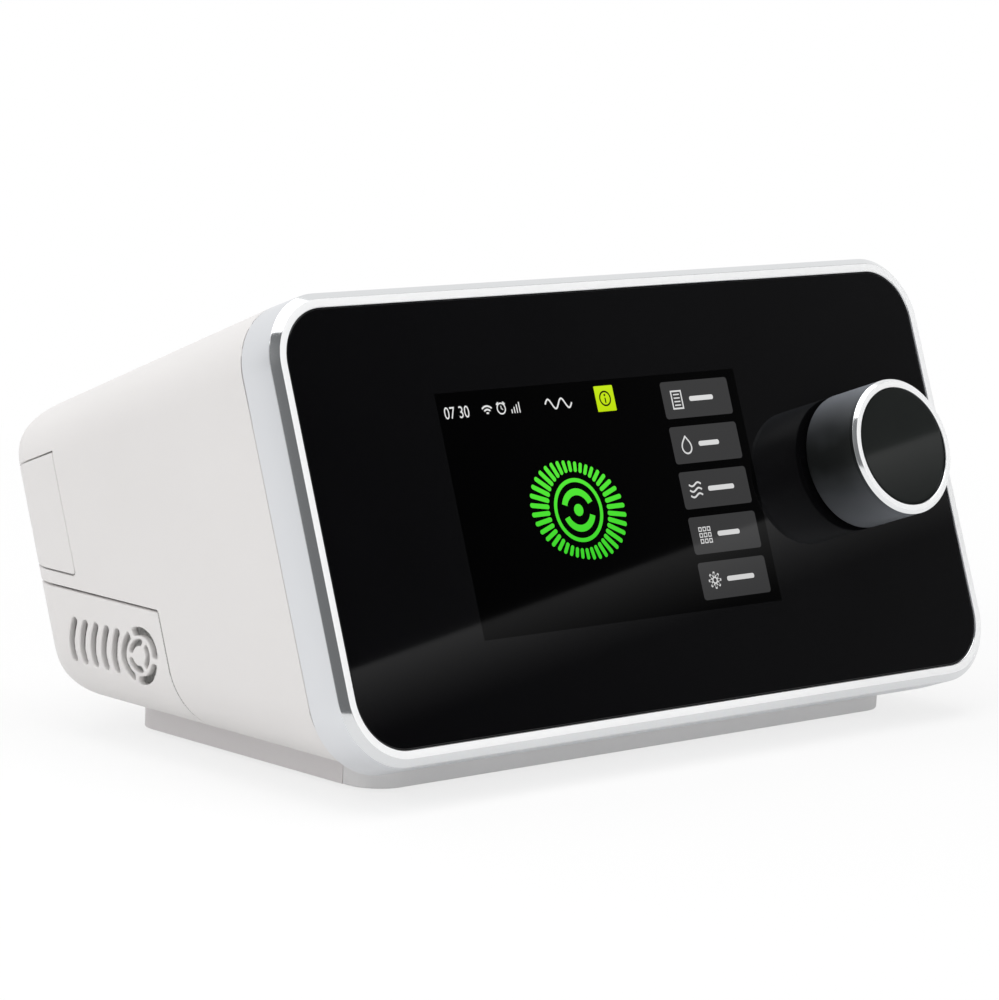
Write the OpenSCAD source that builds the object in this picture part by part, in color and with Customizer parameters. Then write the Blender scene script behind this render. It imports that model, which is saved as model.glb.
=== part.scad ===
// Bilevel breathing machine for the bedside, with a leaning glass front and one turn and press knob.
// Frame: millimetres, +Z up, front towards -Y, +X to the viewer's right.
// Origin: on the table, under the middle of the machine's outline. The casing is drawn in its own
// leaning frame: x across, y going back square to the glass, z going up along the glass.

/* [Front] */
// Width of the black glass
glass_w = 212; // [205:1:220]
// Height of the black glass along its lean
glass_h = 104.5; // [102:0.5:108]
// Corner radius of the glass
glass_r = 13; // [10:0.5:15]
// Thickness of the glass
glass_t = 2; // [1.6:0.1:2.4]
// Angle by which the front leans back
lean = 20.4; // [18:0.2:22]
// Height of the lower edge of the glass above the table
face_z = 14.5; // [14:0.1:16]
// Width of the metal rim around the glass
rim = 4; // [3.6:0.1:4.6]
// Size of the polished edge of the rim
rim_edge = 1.8; // [1:0.1:2.2]
// Depth of the metal frame
frame_d = 12; // [11:0.5:13]
// Width of the screen module
screen_w = 107; // [100:1:110]
// Height of the screen module
screen_h = 67; // [62:1:70]
// Place of the screen module across the glass
screen_x = -13.2; // [-16:0.1:-8]

/* [Casing] */
// Distance from the glass to the back
body_d = 111; // [109:1:114]
// Wall of the casing
wall = 2.5; // [2:0.1:2.6]
// Height of the underside of the casing above the table
body_z = 8.5; // [8:0.1:9]
// Radius of the lower side edges
lower_r = 15; // [13:0.5:18]
// Radius of the two upright back corners
back_r = 12; // [11:0.5:13]
// Radius of the top and lower edges of the back
back_edge_r = 14; // [12:0.5:15]
// How far the top falls from front to back
top_fall = 3; // [1:0.5:4]
// Open seam between the metal frame and the casing
seam = 0.3; // [0.2:0.05:0.5]

/* [Base] */
// Distance of the base in from the sides of the casing
foot_in = 20.5; // [19:0.5:24]
// Distance of the base in from the lower back edge of the casing
foot_back = 8.2; // [7:0.1:10]
// Distance of the base behind the lower edge of the glass
foot_setback = 16.5; // [15.5:0.5:18]
// Radius of the upright corners of the base
foot_r = 9; // [6:0.5:12]
// Depth of the grey strip along the front of the base
strip_d = 10.7; // [9:0.1:13]
// Wall and floor of the base
foot_wall = 2.2; // [1.8:0.1:2.6]
// How far the rubber pads stand below the base
pad_proud = 0.8; // [0.5:0.1:1]
// Radius of the rubber pads
pad_r = 6.5; // [5:0.5:8]

/* [Knob] */
// Distance of the knob's axis from the right edge of the glass
knob_in = 33.8; // [29:0.1:38]
// Place of the knob up the glass
knob_up = 55.2; // [48:0.1:60]
// Outer radius of the knob
knob_r = 17.5; // [16:0.25:19]
// Height of the knob's face above the glass
knob_h = 19.5; // [17:0.25:22]
// Gap between the knob and the glass
knob_gap = 1.8; // [1.5:0.1:2.4]
// Radius of the black cap
cap_r = 15.1; // [14:0.1:15.4]
// Radius of the shaft
shaft_r = 3; // [2.5:0.1:3.2]
// Travel of the knob when it is pressed
knob_press = 0.8; // [0.5:0.1:1]

/* [Air path] */
// Outer radius of the air outlet
outlet_r = 11; // [10.5:0.1:11.5]
// Radius of the bore of the air outlet
outlet_bore = 9.3; // [8.6:0.1:9.4]
// Length of the air outlet behind the casing
outlet_l = 22; // [18:1:26]
// Place of the air outlet across the back
outlet_x = 12; // [8:1:16]
// Place of the air outlet up the back
outlet_up = 66; // [64:1:70]
// Gap between the fan casing and the air box
fan_room = 2; // [1.5:0.5:4]
// Gap between the fan wheel and its casing
wheel_room = 5; // [4:0.5:8]
// Height of the fan casing
fan_case_h = 20; // [18:0.5:22]
// Number of blades on the fan wheel
blades = 11; // [7:1:13]

/* [Filter cover] */
// Length of the filter cover, forward from the back
cover_l = 51; // [45:1:55]
// Height of the top edge of the filter cover above the table
cover_top = 37; // [34:0.5:38]
// How far the filter cover reaches in from the side
cover_in = 18; // [16:0.5:19]
// Radius of the covers' front corners
cover_corner = 1.2; // [0.9:0.1:1.6]
// Open gap around the covers
cover_gap = 0.4; // [0.3:0.05:0.6]
// How much wider the gap over the filter cover is
cover_drop = 0.25; // [0:0.05:0.4]
// Thickness of the filter cover
cover_t = 2; // [1.6:0.1:2.4]
// Number of slots beside the round grille
slot_count = 5; // [3:1:5]
// Width of a slot
slot_w = 2.1; // [1.4:0.1:2.4]
// Distance between slots
slot_pitch = 4.2; // [3.8:0.1:4.4]

/* [Port door] */
// Length of the port door, forward from the back
door_l = 22; // [20:1:25]
// Distance of the port door below the top of the metal frame
door_down = 16.5; // [14:0.5:20]
// Height of the casing that is left between the two covers
cover_space = 3; // [2.5:0.1:5]
// Thickness of the port door
door_t = 1.8; // [1.5:0.1:2]

/* [Hidden] */
$fn = 64;

far = 200;                       // longer than the machine, for cutting shapes
frame_w = glass_w + 2 * rim;
frame_h = glass_h + 2 * rim;
frame_r = glass_r + rim;
mid_b = glass_h / 2;             // middle of the glass, up the lean
top_b = glass_h + rim;           // top of the metal frame
tub_front = frame_d + seam;      // front edge of the casing
back_in = body_d - wall;         // inner face of the back wall
floor_z = body_z + wall;         // inner face of the casing's floor
half_in = frame_w / 2 - wall;    // inner face of the side walls
rim_proud = 0.3;                 // the rim stands this far in front of the glass
fit = 0.2;                       // clearance of parts that drop into each other
run = 0.03;                      // radial running clearance of shafts
bite = 0.5;                      // how far a boss runs into the wall that carries it

// Depth and height up the lean of a point, and how far back a level line meets a depth
function depth_at(d, up) = d * cos(lean) + up * sin(lean);
function up_at(z, d) = (z - face_z + d * sin(lean)) / cos(lean);
function level_y(z, d) = depth_at(d, up_at(z, d));
function top_at(d) = top_b - top_fall * (d - frame_d) / (body_d - frame_d);

// Knob and encoder
knob_x = glass_w / 2 - knob_in;
knob_edge = 1.2;                 // bevel of the knob's bright ring
knob_rim = 2.2;                  // height of the bright ring
knob_wall = 1.6;
knob_web = 2;                    // thickness of the skirt's top
cap_sunk = 0.3;                  // the cap lies this far below the ring
cap_edge = 0.5;
hub_r = 5;
bush_r = 4.5;
shaft_cover = 4;                 // the shaft ends this far below the knob's face
enc_w = 13;
enc_d = 7;
enc_wall = 1;
plunger_t = 1;
press_gap = 0.2;                 // left behind the plunger when the knob is pressed
nut_r = 7;
nut_t = 2;
knob_board_w = 22;

// The glass's lower edge stands this far back from the origin, which halves the whole depth
front_reach = min(depth_at(-rim_proud, rim_edge - rim),
                  depth_at(-knob_h, knob_up - knob_r + knob_edge));
back_reach = depth_at(body_d + outlet_l, outlet_up + outlet_r);
glass_y = -(front_reach + back_reach) / 2;

// Base, its screws, pads and plate
foot_w = frame_w - 2 * foot_in;
foot_d = level_y(body_z, body_d) - foot_back - foot_setback;
foot_y = glass_y + foot_setback + foot_d / 2;
lap = 0.1;                       // gap between the base and the grey strip around it
joint_gap = 0.15;                // gap at the ends of the strip
foot_screw_x = foot_w / 2 - 18;
foot_screw_y = foot_d / 2 - 20;
foot_screw_l = 8;
pad_x = foot_w / 2 - 34;
pad_y = foot_d / 2 - 13;
pad_sunk = 1.2;                  // depth of the pads' recesses
pad_edge = 0.5;
head_sunk = 1.2;                 // depth of the screw holes above the base's floor
head_t = 1.5;
plate_w = 62;
plate_l = 34;
plate_r = 2;
label_t = 0.25;

// Front stack, measured back from the glass face
glass_edge = 0.3;                // bevel of the glass
frame_gap = 0.1;                 // gap between the glass and the metal frame
tape_t = 0.4;
tape_in = 0.3;                   // the tape ends this far inside the ledge
ledge_t = 2;
ledge_in = 3;                    // how far the ledge reaches under the glass
frame_wall = 2;                  // wall of the metal frame behind the ledge
screen_t = 4;
screen_edge = 12;                // border of the screen module that the plate covers
plate_front = glass_t + screen_t;
plate_t = 2;
plate_back = plate_front + plate_t;
skirt_t = 1.6;
skirt_end = 18;
boss_r = 4;
boss_l = 30;
boss_rib = 2;                    // thickness of the ribs that tie the bosses to the sides
screw_r = 1.4;
screw_l = 12;
screw_play = 0.3;                // radial clearance of the screws in their holes
corner_in = 13;                  // corner bosses, in from the frame's outline
speaker_x = -half_in + 21.5;
speaker_up = 34;
speaker_r = 11;
speaker_t = 6;
cone_r = 8;
cone_deep = 1.5;

// Main board
board_t = 1.6;
board_d = 33;                    // front face of the main board
board_w = 124;
board_lo = 14;
board_hi = top_b - 12.5;
board_in = 6;                    // pillars, in from the edges of the board
pillar_r = 3.5;
pin_r = 1;                       // screws of the boards
pin_head_r = 2.2;
pin_head_t = 1.2;
pin_l = 8;
chip_w = 14;
chip_t = 1.6;
chip_step = 22;
chip_x = -20;
chip_lo = board_lo + 26;
plug_x = -44;                    // plug of the screen's cable
plug_w = 24;
plug_h = 5;
plug_lo = board_lo + 52;
coil_x = 24;
coil_h = 6;
cable_t = 0.4;
cable_out = 12;                  // the cable runs straight back this far
cell_r = 10;
cell_t = 3;
cell_x = -40;

// Air box, blower and motor; the fan turns about a line parallel to the glass
pocket_x = -frame_w / 2 + cover_in;
pocket_wall = 2;
power_l = half_in - 53.5;        // left edge of the power board
box_front = board_d + board_t + cell_t + 0.4;
box_back = back_in - 4.5;
box_l = pocket_x + pocket_wall + 4;
box_r = power_l - 8;
box_wall = 2;
box_z = floor_z + 2.5;           // underside of the box, on pads
box_top = top_at(body_d) - wall - 5;
box_pad_r = 5;
box_pad_in = 12;
fan_case_r = (box_back - box_front) / 2 - box_wall - fan_room;
case_t = 2;
wheel_r = fan_case_r - case_t - wheel_room;
duct_r = 10;                     // outer radius of the fan's outlet
duct_bore = 8;
duct_end = box_back - box_wall - fit;
fan_d = (box_front + box_back) / 2;
fan_x = outlet_x - fan_case_r + duct_r;
fan_lo = outlet_up - fan_case_h / 2;
eye_r = 12;                      // inlet of the fan
motor_r = 14;
motor_h = 16;
motor_lo = fan_lo - motor_h;
axle_r = 2;
axle_room = 1;
rotor_r = 5;
rotor_gap = 0.5;
stator_r = 12;
bearing_h = 3;
hub_h = 8;
wheel_hub = 2.5;                 // wall of the wheel's hub
wheel_t = 1.4;
wheel_lift = 2;
shroud_t = 1.2;
shroud_bore = 11;
blade_in = 8;                    // inner end of the blades, from the axis
blade_t = 1;
blade_turn = 18;
mount_h = 6;
mount_r = 3.5;
ear_t = 3;
ear_at = (fan_case_r + 2.1) / sqrt(2);   // fan mounting ears, from the axis along x and y
sleeve_t = 2;
sleeve_lap = 0.3;
foam_gap = 8;                    // the foam ends this far from the fan casing
foam_bore = 10;
foam_up = 14;
sensor_l = 8;
sensor_at = 11;                  // the flow sensor starts this far behind the fan's axis
sensor_wall = 1.8;
sensor_w = 12;
sensor_h = 16;
flange_t = 2;
flange_w = 4;                    // the outlet's flange, beyond its radius
seal_t = 1;
mouth_l = 27;                    // length of the wide bore in the outlet
collar_r = outlet_r + 1.6;       // collar in the wall, around the foot of the outlet
collar_h = 0.8;

// Intake on the left, behind the filter cover
cover_front = body_d - cover_l;
intake_d = body_d - 27;
intake_z = cover_top - 12;
intake_r = 8;
grommet_t = 1.8;
filter_gap = 0.4;
filter_t = 9.5;
filter_in = 3;                   // the filter lies this far inside the cover's edges
filter_back = 7;

// Slots in the filter cover, in the upright plane of the side
slot_high = cover_top - 7;
slot_low = slot_high - 11;
slot_y = level_y(slot_high, body_d) - 19;   // middle of the rearmost slot
slot_bulge = 1.2;                // how far a slot bows backwards
grille_step = 9.05;              // from the last slot to the middle of the round grille
grille_y = slot_y - (slot_count - 1) * slot_pitch - grille_step;
grille_z = cover_top - 12.3;
grille_r = 7;
grille_ring = 2;                 // width of the outer openings
grille_bars = [55, 184, 284];    // turns of the bars between them, from the back upwards
grille_bar = 1.4;
grille_in_r = 4.05;              // the same for the inner openings
grille_in_ring = 1.55;
grille_in_bars = [-5, 115, 236];
grille_in_bar = 1.2;

// Port door and its hinge
door_front = body_d - door_l;
door_top = top_b - door_down;
door_low = cover_top + cover_space;
hinge_pin_r = 0.9;
hinge_play = 0.05;
barrel_r = 1.9;
barrel_room = 0.7;
hinge_x = -half_in + 15.9;
hinge_d = body_d - barrel_r - fit;
barrel_hi = door_top - 6;
barrel_lo = barrel_hi - 12;
lug_gap = 0.4;
pin_lo = barrel_lo - 3.2;
pin_hi = barrel_hi + 3.4;
hinge_room = 3.6;
leaf_l = 4;                      // the arm between the door and its barrel
leaf_room = 2.7;                 // room beside the hinge for the end of the door as it turns
door_lip = 0.5;                  // thin lower edge, so that the door clears the casing as it turns
door_rise = 1.2;
door_rest = 3;                   // width of the ledge that the door closes onto
window_wall = 3.6;               // wall left between the ports' window and the port board

// Ports behind the door
port_x = -half_in + 12.5;        // outer face of the port board
port_mouth = -half_in + 5;
port_hi = door_top - 1;
port_lo = up_at(door_low, body_d) + 0.5;
port_wall = 0.5;
port_end = 2.3;                  // the port board ends this far inside the back wall
usb_d = door_front + 3.6;
usb_w = 3.4;
usb_lo = port_lo + 5;
usb_h = 9.4;
tongue_t = 0.6;
card_d = door_front + 9.4;
card_w = 4.6;
card_wall = 1;

// Power parts at the back right
power_d = body_d - 21;           // front face of the power board
power_r = half_in - 3.5;         // right edge of the power board
dc_x = half_in - 41.5;
dc_up = outlet_up - 4;
dc_w = 12;
dc_h = 11;
dc_bore = 2.75;
dc_clear = 6.2;                  // clear depth of the inlet
dc_sunk = 0.8;
dc_pin_r = 1;
dc_pin_l = 5.5;                  // the pin starts this far behind the inlet's clear depth
dc_step = 0.4;                   // the bore is this much narrower around the pin
power_lo = dc_up - 14;
power_hi = dc_up + 30;
tab_in = 3;
tab_t = 3;
coil_w = 16;
coil_t = 12;
can_r = 4.5;
can_l = 16;
button_x = half_in - 17.5;
button_up = dc_up;
button_r = 6;
button_proud = 1.5;
button_edge = 0.5;
button_travel = 1.5;
button_play = 0.25;
button_lip = 1.2;
button_lip_t = 2;
button_gap = 0.3;                // between the button's lip and the wall
stem_r = 2;
switch_w = 6;
switch_t = 0.9;
switch_key = 0.4;

function unit(v) = v / norm(v);
function half_angle(p, a, b) = acos(unit(a - p) * unit(b - p)) / 2;

// Places the leaning frame of the casing
module leaning() {
    translate([0, glass_y, face_z]) rotate([-lean, 0, 0]) children();
}

// Extrusions in the leaning frame: through the depth, up the lean and across
module through(d0, d1) {
    translate([0, d1, 0]) rotate([90, 0, 0]) linear_extrude(d1 - d0) children();
}
module upward(b0, b1) {
    translate([0, 0, b0]) linear_extrude(b1 - b0) children();
}
module across(x0, x1) {
    translate([x0, 0, 0]) rotate([90, 0, 90]) linear_extrude(x1 - x0) children();
}

module rounded_rect(w, h, r) {
    square([w - 2 * r, h], center = true);
    square([w, h - 2 * r], center = true);
    for (sx = [-1, 1], sy = [-1, 1])
        translate([sx * (w / 2 - r), sy * (h / 2 - r)]) circle(r);
}

// Convex outline with its own radius at each corner, 0 for a sharp one
module rounded_outline(pts, radii) {
    n = len(pts);
    polygon([for (i = [0 : n - 1])
        let (p = pts[i], a = pts[(i + n - 1) % n], b = pts[(i + 1) % n], r = radii[i])
        each r == 0 ? [p] : [p + unit(a - p) * r / tan(half_angle(p, a, b)),
                             p + unit(b - p) * r / tan(half_angle(p, a, b))]]);
    for (i = [0 : n - 1])
        if (radii[i] > 0)
            rounded_corner(pts[i], pts[(i + n - 1) % n], pts[(i + 1) % n], radii[i]);
}
module rounded_corner(p, a, b, r) {
    translate(p + unit(unit(a - p) + unit(b - p)) * r / sin(half_angle(p, a, b))) circle(r);
}

// Outline of the metal frame, the glass and what follows them, made smaller by inset
module front_outline(inset) {
    translate([0, mid_b]) rounded_rect(frame_w - 2 * inset, frame_h - 2 * inset, frame_r - inset);
}

// The casing's outer form from front to back, made smaller by inset on every side
module casing_form(inset, front) {
    intersection() {
        leaning() intersection() {
            through(front, body_d) front_outline(inset);
            upward(-far / 2, far) rounded_outline(
                [[-frame_w / 2 + inset, front - 1], [frame_w / 2 - inset, front - 1],
                 [frame_w / 2 - inset, body_d - inset], [-frame_w / 2 + inset, body_d - inset]],
                [0, 0, back_r - inset, back_r - inset]);
            across(-frame_w / 2, frame_w / 2) rounded_outline(
                [[front, up_at(body_z + inset, front)],
                 [body_d - inset, up_at(body_z + inset, body_d - inset)],
                 [body_d - inset, top_at(body_d) - inset], [front, top_at(front) - inset]],
                [0, back_edge_r - inset, back_edge_r - inset, 0]);
        }
        translate([0, far / 2, 0]) rotate([90, 0, 0]) linear_extrude(far) rounded_outline(
            [[-frame_w / 2 + inset, body_z + inset], [frame_w / 2 - inset, body_z + inset],
             [frame_w / 2 - inset, far], [-frame_w / 2 + inset, far]],
            [lower_r - inset, lower_r - inset, 0, 0]);
    }
}

// A layer of the casing between two depths below its surface
module casing_layer(outer, inner, front) {
    difference() {
        casing_form(outer, front);
        casing_form(inner, front - 2);
    }
}

// A cylinder that runs back through the casing, and one that runs up the lean
module pin_back(x, b, d0, d1, r) {
    translate([x, d0, b]) rotate([-90, 0, 0]) cylinder(h = d1 - d0, r = r);
}
module pin_up(x, d, b0, b1, r) {
    translate([x, d, b0]) cylinder(h = b1 - b0, r = r);
}

// Everything in the leaning frame that lies between two corners
module block(x, d, b) {
    translate([x[0], d[0], b[0]]) cube([x[1] - x[0], d[1] - d[0], b[1] - b[0]]);
}

// The corner at the left and low at the back that the filter cover takes, gap smaller all round
module cover_zone(gap, drop = 0) {
    difference() {
        intersection() {
            leaning() block([-far, pocket_x - gap], [cover_front + gap, far], [-far, far]);
            translate([-far, -far, -far]) cube([2 * far, 2 * far, far + cover_top - gap - drop]);
        }
        corner_off(cover_front + gap, cover_top - gap - drop, cover_corner - gap, 1);
    }
}

// What rounds off a front corner of a cover, between its leaning edge at depth d and its level edge
// at height z, where side is 1 at an upper edge and -1 at a lower one
module corner_off(d, z, r, side) {
    middle = [level_y(z - side * r, d + r), z - side * r];
    front = middle - r * [cos(lean), -sin(lean)];
    tip = [level_y(z, d), z];
    level = middle + [0, side * r];
    if (r > 0) translate([-far, glass_y, 0]) rotate([90, 0, 90]) linear_extrude(2 * far)
        difference() {
            polygon([middle, 2 * front - middle, 2 * tip - middle, 2 * level - middle]);
            translate(middle) circle(r);
        }
}

// The part of the left back corner that the port door takes, gap smaller all round and lifted
// further at its lower edge
module door_zone(gap, lift = 0) {
    difference() {
        intersection() {
            leaning() block([-far, hinge_x - gap], [door_front + gap, far], [-far, door_top - gap]);
            translate([-far, -far, door_low + gap + lift]) cube([2 * far, 2 * far, far]);
        }
        corner_off(door_front + gap, door_low + gap + lift, cover_corner - gap, -1);
    }
}

module corner_places() {
    for (sx = [-1, 1], sb = [-1, 1])
        translate([sx * (frame_w / 2 - corner_in), 0, mid_b + sb * (frame_h / 2 - corner_in)])
            children();
}

module rear_housing() {
    color([0.88, 0.87, 0.86]) difference() {
        union() {
            difference() {
                casing_layer(0, wall, tub_front);
                cover_zone(0);
                door_zone(0);
                leaning() block([hinge_x - 1, hinge_x + leaf_room], [hinge_d + 1, body_d + 1],
                                [up_at(door_low, body_d), door_top]);
            }
            filter_pocket();
            door_ledge();
            intersection() {
                casing_form(1, plate_back);
                leaning() housing_bosses();
            }
            box_pads();
            foot_bosses();
        }
        door_window();
        leaning() {
            pin_back(outlet_x, outlet_up, back_in - 1, body_d + 1, collar_r + fit);
            block([dc_x - dc_w / 2 - fit, dc_x + dc_w / 2 + fit], [back_in - 1, body_d + 1],
                  [dc_up - dc_h / 2 - fit, dc_up + dc_h / 2 + fit]);
            pin_back(button_x, button_up, back_in - 1, body_d + 1, button_r + button_play);
            pin_up(hinge_x, hinge_d, pin_lo - fit, pin_hi + fit, hinge_pin_r + run);
            pin_up(hinge_x, hinge_d, barrel_lo - lug_gap, barrel_hi + lug_gap, hinge_room);
            across(pocket_x - 1, pocket_x + pocket_wall + 1)
                translate([intake_d, up_at(intake_z, intake_d)]) circle(intake_r + grommet_t);
        }
        foot_screw_places() translate([0, 0, body_z - 1]) cylinder(h = foot_screw_l - 1, r = screw_r);
    }
}

// Walls of the pocket behind the filter cover
module filter_pocket() {
    difference() {
        intersection() {
            casing_form(0, tub_front);
            cover_zone(-pocket_wall);
        }
        cover_zone(0);
    }
}

// Ledge that the port door closes onto, with the lugs of its hinge
module door_ledge() {
    intersection() {
        casing_layer(door_t + cover_gap, wall + pocket_wall, tub_front);
        door_zone(-pocket_wall);
    }
    leaning() for (b = [[pin_lo, barrel_lo - lug_gap], [barrel_hi + lug_gap, pin_hi]])
        pin_up(hinge_x, hinge_d, b[0], b[1], body_d - hinge_d);
}
module door_window() {
    intersection() {
        casing_form(door_t, tub_front);
        door_zone(door_rest);
        leaning() block([-far, port_x - window_wall], [0, far], [-far, far]);
    }
}

// Bosses at the four corners that the front chassis is screwed to, each tied to its side wall
module housing_bosses() {
    difference() {
        union() {
            corner_places() translate([0, plate_back, 0]) rotate([-90, 0, 0])
                cylinder(h = boss_l, r = boss_r);
            for (sx = [-1, 1], sb = [-1, 1])
                translate([0, 0, mid_b + sb * (frame_h / 2 - corner_in)])
                    block(sx > 0 ? [frame_w / 2 - corner_in, half_in + bite]
                                 : [-half_in - bite, -frame_w / 2 + corner_in],
                          [skirt_end + 1, plate_back + boss_l], [-boss_rib / 2, boss_rib / 2]);
        }
        corner_places() translate([0, plate_back - 1, 0]) rotate([-90, 0, 0])
            cylinder(h = screw_l + 2, r = screw_r);
    }
}

// Pads on the floor that carry the air box
module box_pads() {
    for (x = [box_l + box_pad_in, box_r - box_pad_in],
         y = [level_y(box_z, box_front) + box_pad_in, level_y(box_z, box_back) - box_pad_in - 4.6])
        translate([x, glass_y + y, floor_z - bite])
            cylinder(h = box_z - floor_z + bite, r = box_pad_r);
}

module foot_screw_places() {
    for (sx = [-1, 1], sy = [-1, 1])
        translate([sx * foot_screw_x, foot_y + sy * foot_screw_y, 0]) children();
}
module foot_bosses() {
    foot_screw_places() translate([0, 0, floor_z - bite])
        cylinder(h = box_z - floor_z + fit, r = boss_r);
}

// Base: a shallow tray under the casing, with a grey strip around its front
module foot_outline(inset) {
    translate([0, foot_y])
        rounded_rect(foot_w - 2 * inset, foot_d - 2 * inset, foot_r - inset);
}
module strip_zone(gap) {
    translate([-far / 2, foot_y - foot_d / 2 - far, -1]) cube([far, far + strip_d - gap, far]);
}
module base_shell() {
    color([0.88, 0.87, 0.86]) difference() {
        union() {
            difference() {
                translate([0, 0, pad_proud]) linear_extrude(body_z - pad_proud) foot_outline(0);
                strip_zone(0);
            }
            intersection() {
                translate([0, 0, pad_proud]) linear_extrude(body_z - pad_proud)
                    foot_outline(foot_wall + lap);
                strip_zone(-1);
            }
        }
        difference() {
            translate([0, 0, pad_proud + foot_wall]) linear_extrude(far)
                foot_outline(2 * foot_wall);
            foot_screw_places() cylinder(h = far, r = boss_r);
        }
        foot_screw_places() {
            cylinder(h = far, r = screw_r + screw_play);
            cylinder(h = pad_proud + foot_wall + head_sunk, r = 2 * screw_r + fit);
        }
        pad_places() cylinder(h = pad_proud + pad_sunk, r = pad_r + lap);
    }
}
module foot_front_strip() {
    color([0.69, 0.69, 0.70]) difference() {
        intersection() {
            translate([0, 0, pad_proud]) linear_extrude(body_z - pad_proud) foot_outline(0);
            strip_zone(joint_gap);
        }
        translate([0, 0, -1]) linear_extrude(far) foot_outline(foot_wall);
    }
}
module pad_places() {
    for (sx = [-1, 1], sy = [-1, 1])
        translate([sx * pad_x, foot_y + sy * pad_y, 0]) children();
}
module rubber_feet() {
    color([0.15, 0.15, 0.16]) pad_places() {
        cylinder(h = pad_edge, r1 = pad_r - pad_edge, r2 = pad_r);
        translate([0, 0, pad_edge]) cylinder(h = pad_proud + pad_sunk - pad_edge, r = pad_r);
    }
}
module base_screws() {
    color("silver") foot_screw_places() {
        translate([0, 0, pad_proud + foot_wall + head_sunk - head_t]) difference() {
            cylinder(h = head_t, r = 2 * screw_r - lap);
            translate([0, 0, -lap]) cylinder(h = head_t * 2 / 3, r = screw_r * 2 / 3, $fn = 6);
        }
        translate([0, 0, pad_proud + foot_wall + head_sunk])
            cylinder(h = foot_screw_l, r = screw_r);
    }
}
module rating_plate() {
    color([0.8, 0.8, 0.81]) translate([0, foot_y, pad_proud - label_t])
        linear_extrude(label_t) rounded_rect(plate_w, plate_l, plate_r);
}

// Slab with a bevelled front edge
module bevelled_slab(inset, bevel, d0, d1) {
    w = frame_w - 2 * inset;
    h = frame_h - 2 * inset;
    r = frame_r - inset;
    through(d0 + bevel, d1) front_outline(inset);
    upward(mid_b - h / 2 + r, mid_b + h / 2 - r) polygon(
        [[-w / 2 + bevel, d0], [w / 2 - bevel, d0], [w / 2, d0 + bevel], [-w / 2, d0 + bevel]]);
    across(-w / 2 + r, w / 2 - r) polygon(
        [[d0, mid_b - h / 2 + bevel], [d0 + bevel, mid_b - h / 2],
         [d0 + bevel, mid_b + h / 2], [d0, mid_b + h / 2 - bevel]]);
    for (sx = [-1, 1], sb = [-1, 1])
        translate([sx * (w / 2 - r), d0, mid_b + sb * (h / 2 - r)]) rotate([-90, 0, 0])
            cylinder(h = bevel, r1 = r - bevel, r2 = r);
}

module bezel_frame() {
    color([0.84, 0.85, 0.87]) leaning() difference() {
        bevelled_slab(0, rim_edge, -rim_proud, frame_d);
        through(-1, glass_t + tape_t) front_outline(rim - frame_gap);
        through(-1, far) front_outline(rim + ledge_in);
        through(glass_t + tape_t + ledge_t, far) front_outline(frame_wall);
    }
}
module front_glass() {
    color([0.05, 0.05, 0.06]) leaning() difference() {
        bevelled_slab(rim, glass_edge, 0, glass_t);
        pin_back(knob_x, knob_up, -1, glass_t + 1, hub_r + 2 * fit);
    }
}
module glass_tape() {
    color([0.1, 0.1, 0.1]) leaning() difference() {
        through(glass_t, glass_t + tape_t) front_outline(rim + tape_in);
        through(0, far) front_outline(rim + ledge_in - tape_in);
    }
}
module screen_module() {
    color([0.2, 0.2, 0.22]) leaning() through(glass_t, plate_front)
        translate([screen_x, mid_b]) square([screen_w, screen_h], center = true);
}

// Plate behind the glass that carries the screen, the knob's encoder and the main board
module front_chassis() {
    color([0.22, 0.22, 0.24]) intersection() {
        casing_form(wall + fit, 0);
        leaning() chassis_form();
    }
}
module chassis_form() {
    difference() {
        union() {
            through(plate_front, plate_back) front_outline(wall + fit);
            difference() {
                through(glass_t + tape_t + ledge_t, skirt_end) front_outline(wall + fit);
                through(0, far) front_outline(wall + fit + skirt_t);
            }
            board_places() rotate([-90, 0, 0]) cylinder(h = board_d - plate_back + bite, r = pillar_r);
        }
        through(plate_front - 1, plate_back + 1) translate([screen_x, mid_b])
            square([screen_w - 2 * screen_edge, screen_h - 2 * screen_edge], center = true);
        pin_back(knob_x, knob_up, plate_front - 1, plate_back + 1, bush_r + fit);
        corner_places() translate([0, plate_front - 1, 0]) rotate([-90, 0, 0])
            cylinder(h = plate_t + 2, r = screw_r + screw_play);
        corner_places() translate([0, plate_back, 0]) rotate([-90, 0, 0])
            cylinder(h = far, r = boss_r + fit);
        board_places() translate([0, board_d - plate_back - pin_l - 2, 0]) rotate([-90, 0, 0])
            cylinder(h = far, r = pin_r);
    }
}
module board_places() {
    for (sx = [-1, 1], b = [board_lo + board_in, board_hi - board_in])
        translate([sx * (board_w / 2 - board_in), plate_back - bite, b]) children();
}
module chassis_screws() {
    color("silver") leaning() corner_places() {
        translate([0, plate_front - head_t, 0]) rotate([-90, 0, 0])
            cylinder(h = head_t, r = 2 * screw_r - lap);
        translate([0, plate_front, 0]) rotate([-90, 0, 0]) cylinder(h = screw_l, r = screw_r);
    }
}

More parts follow.
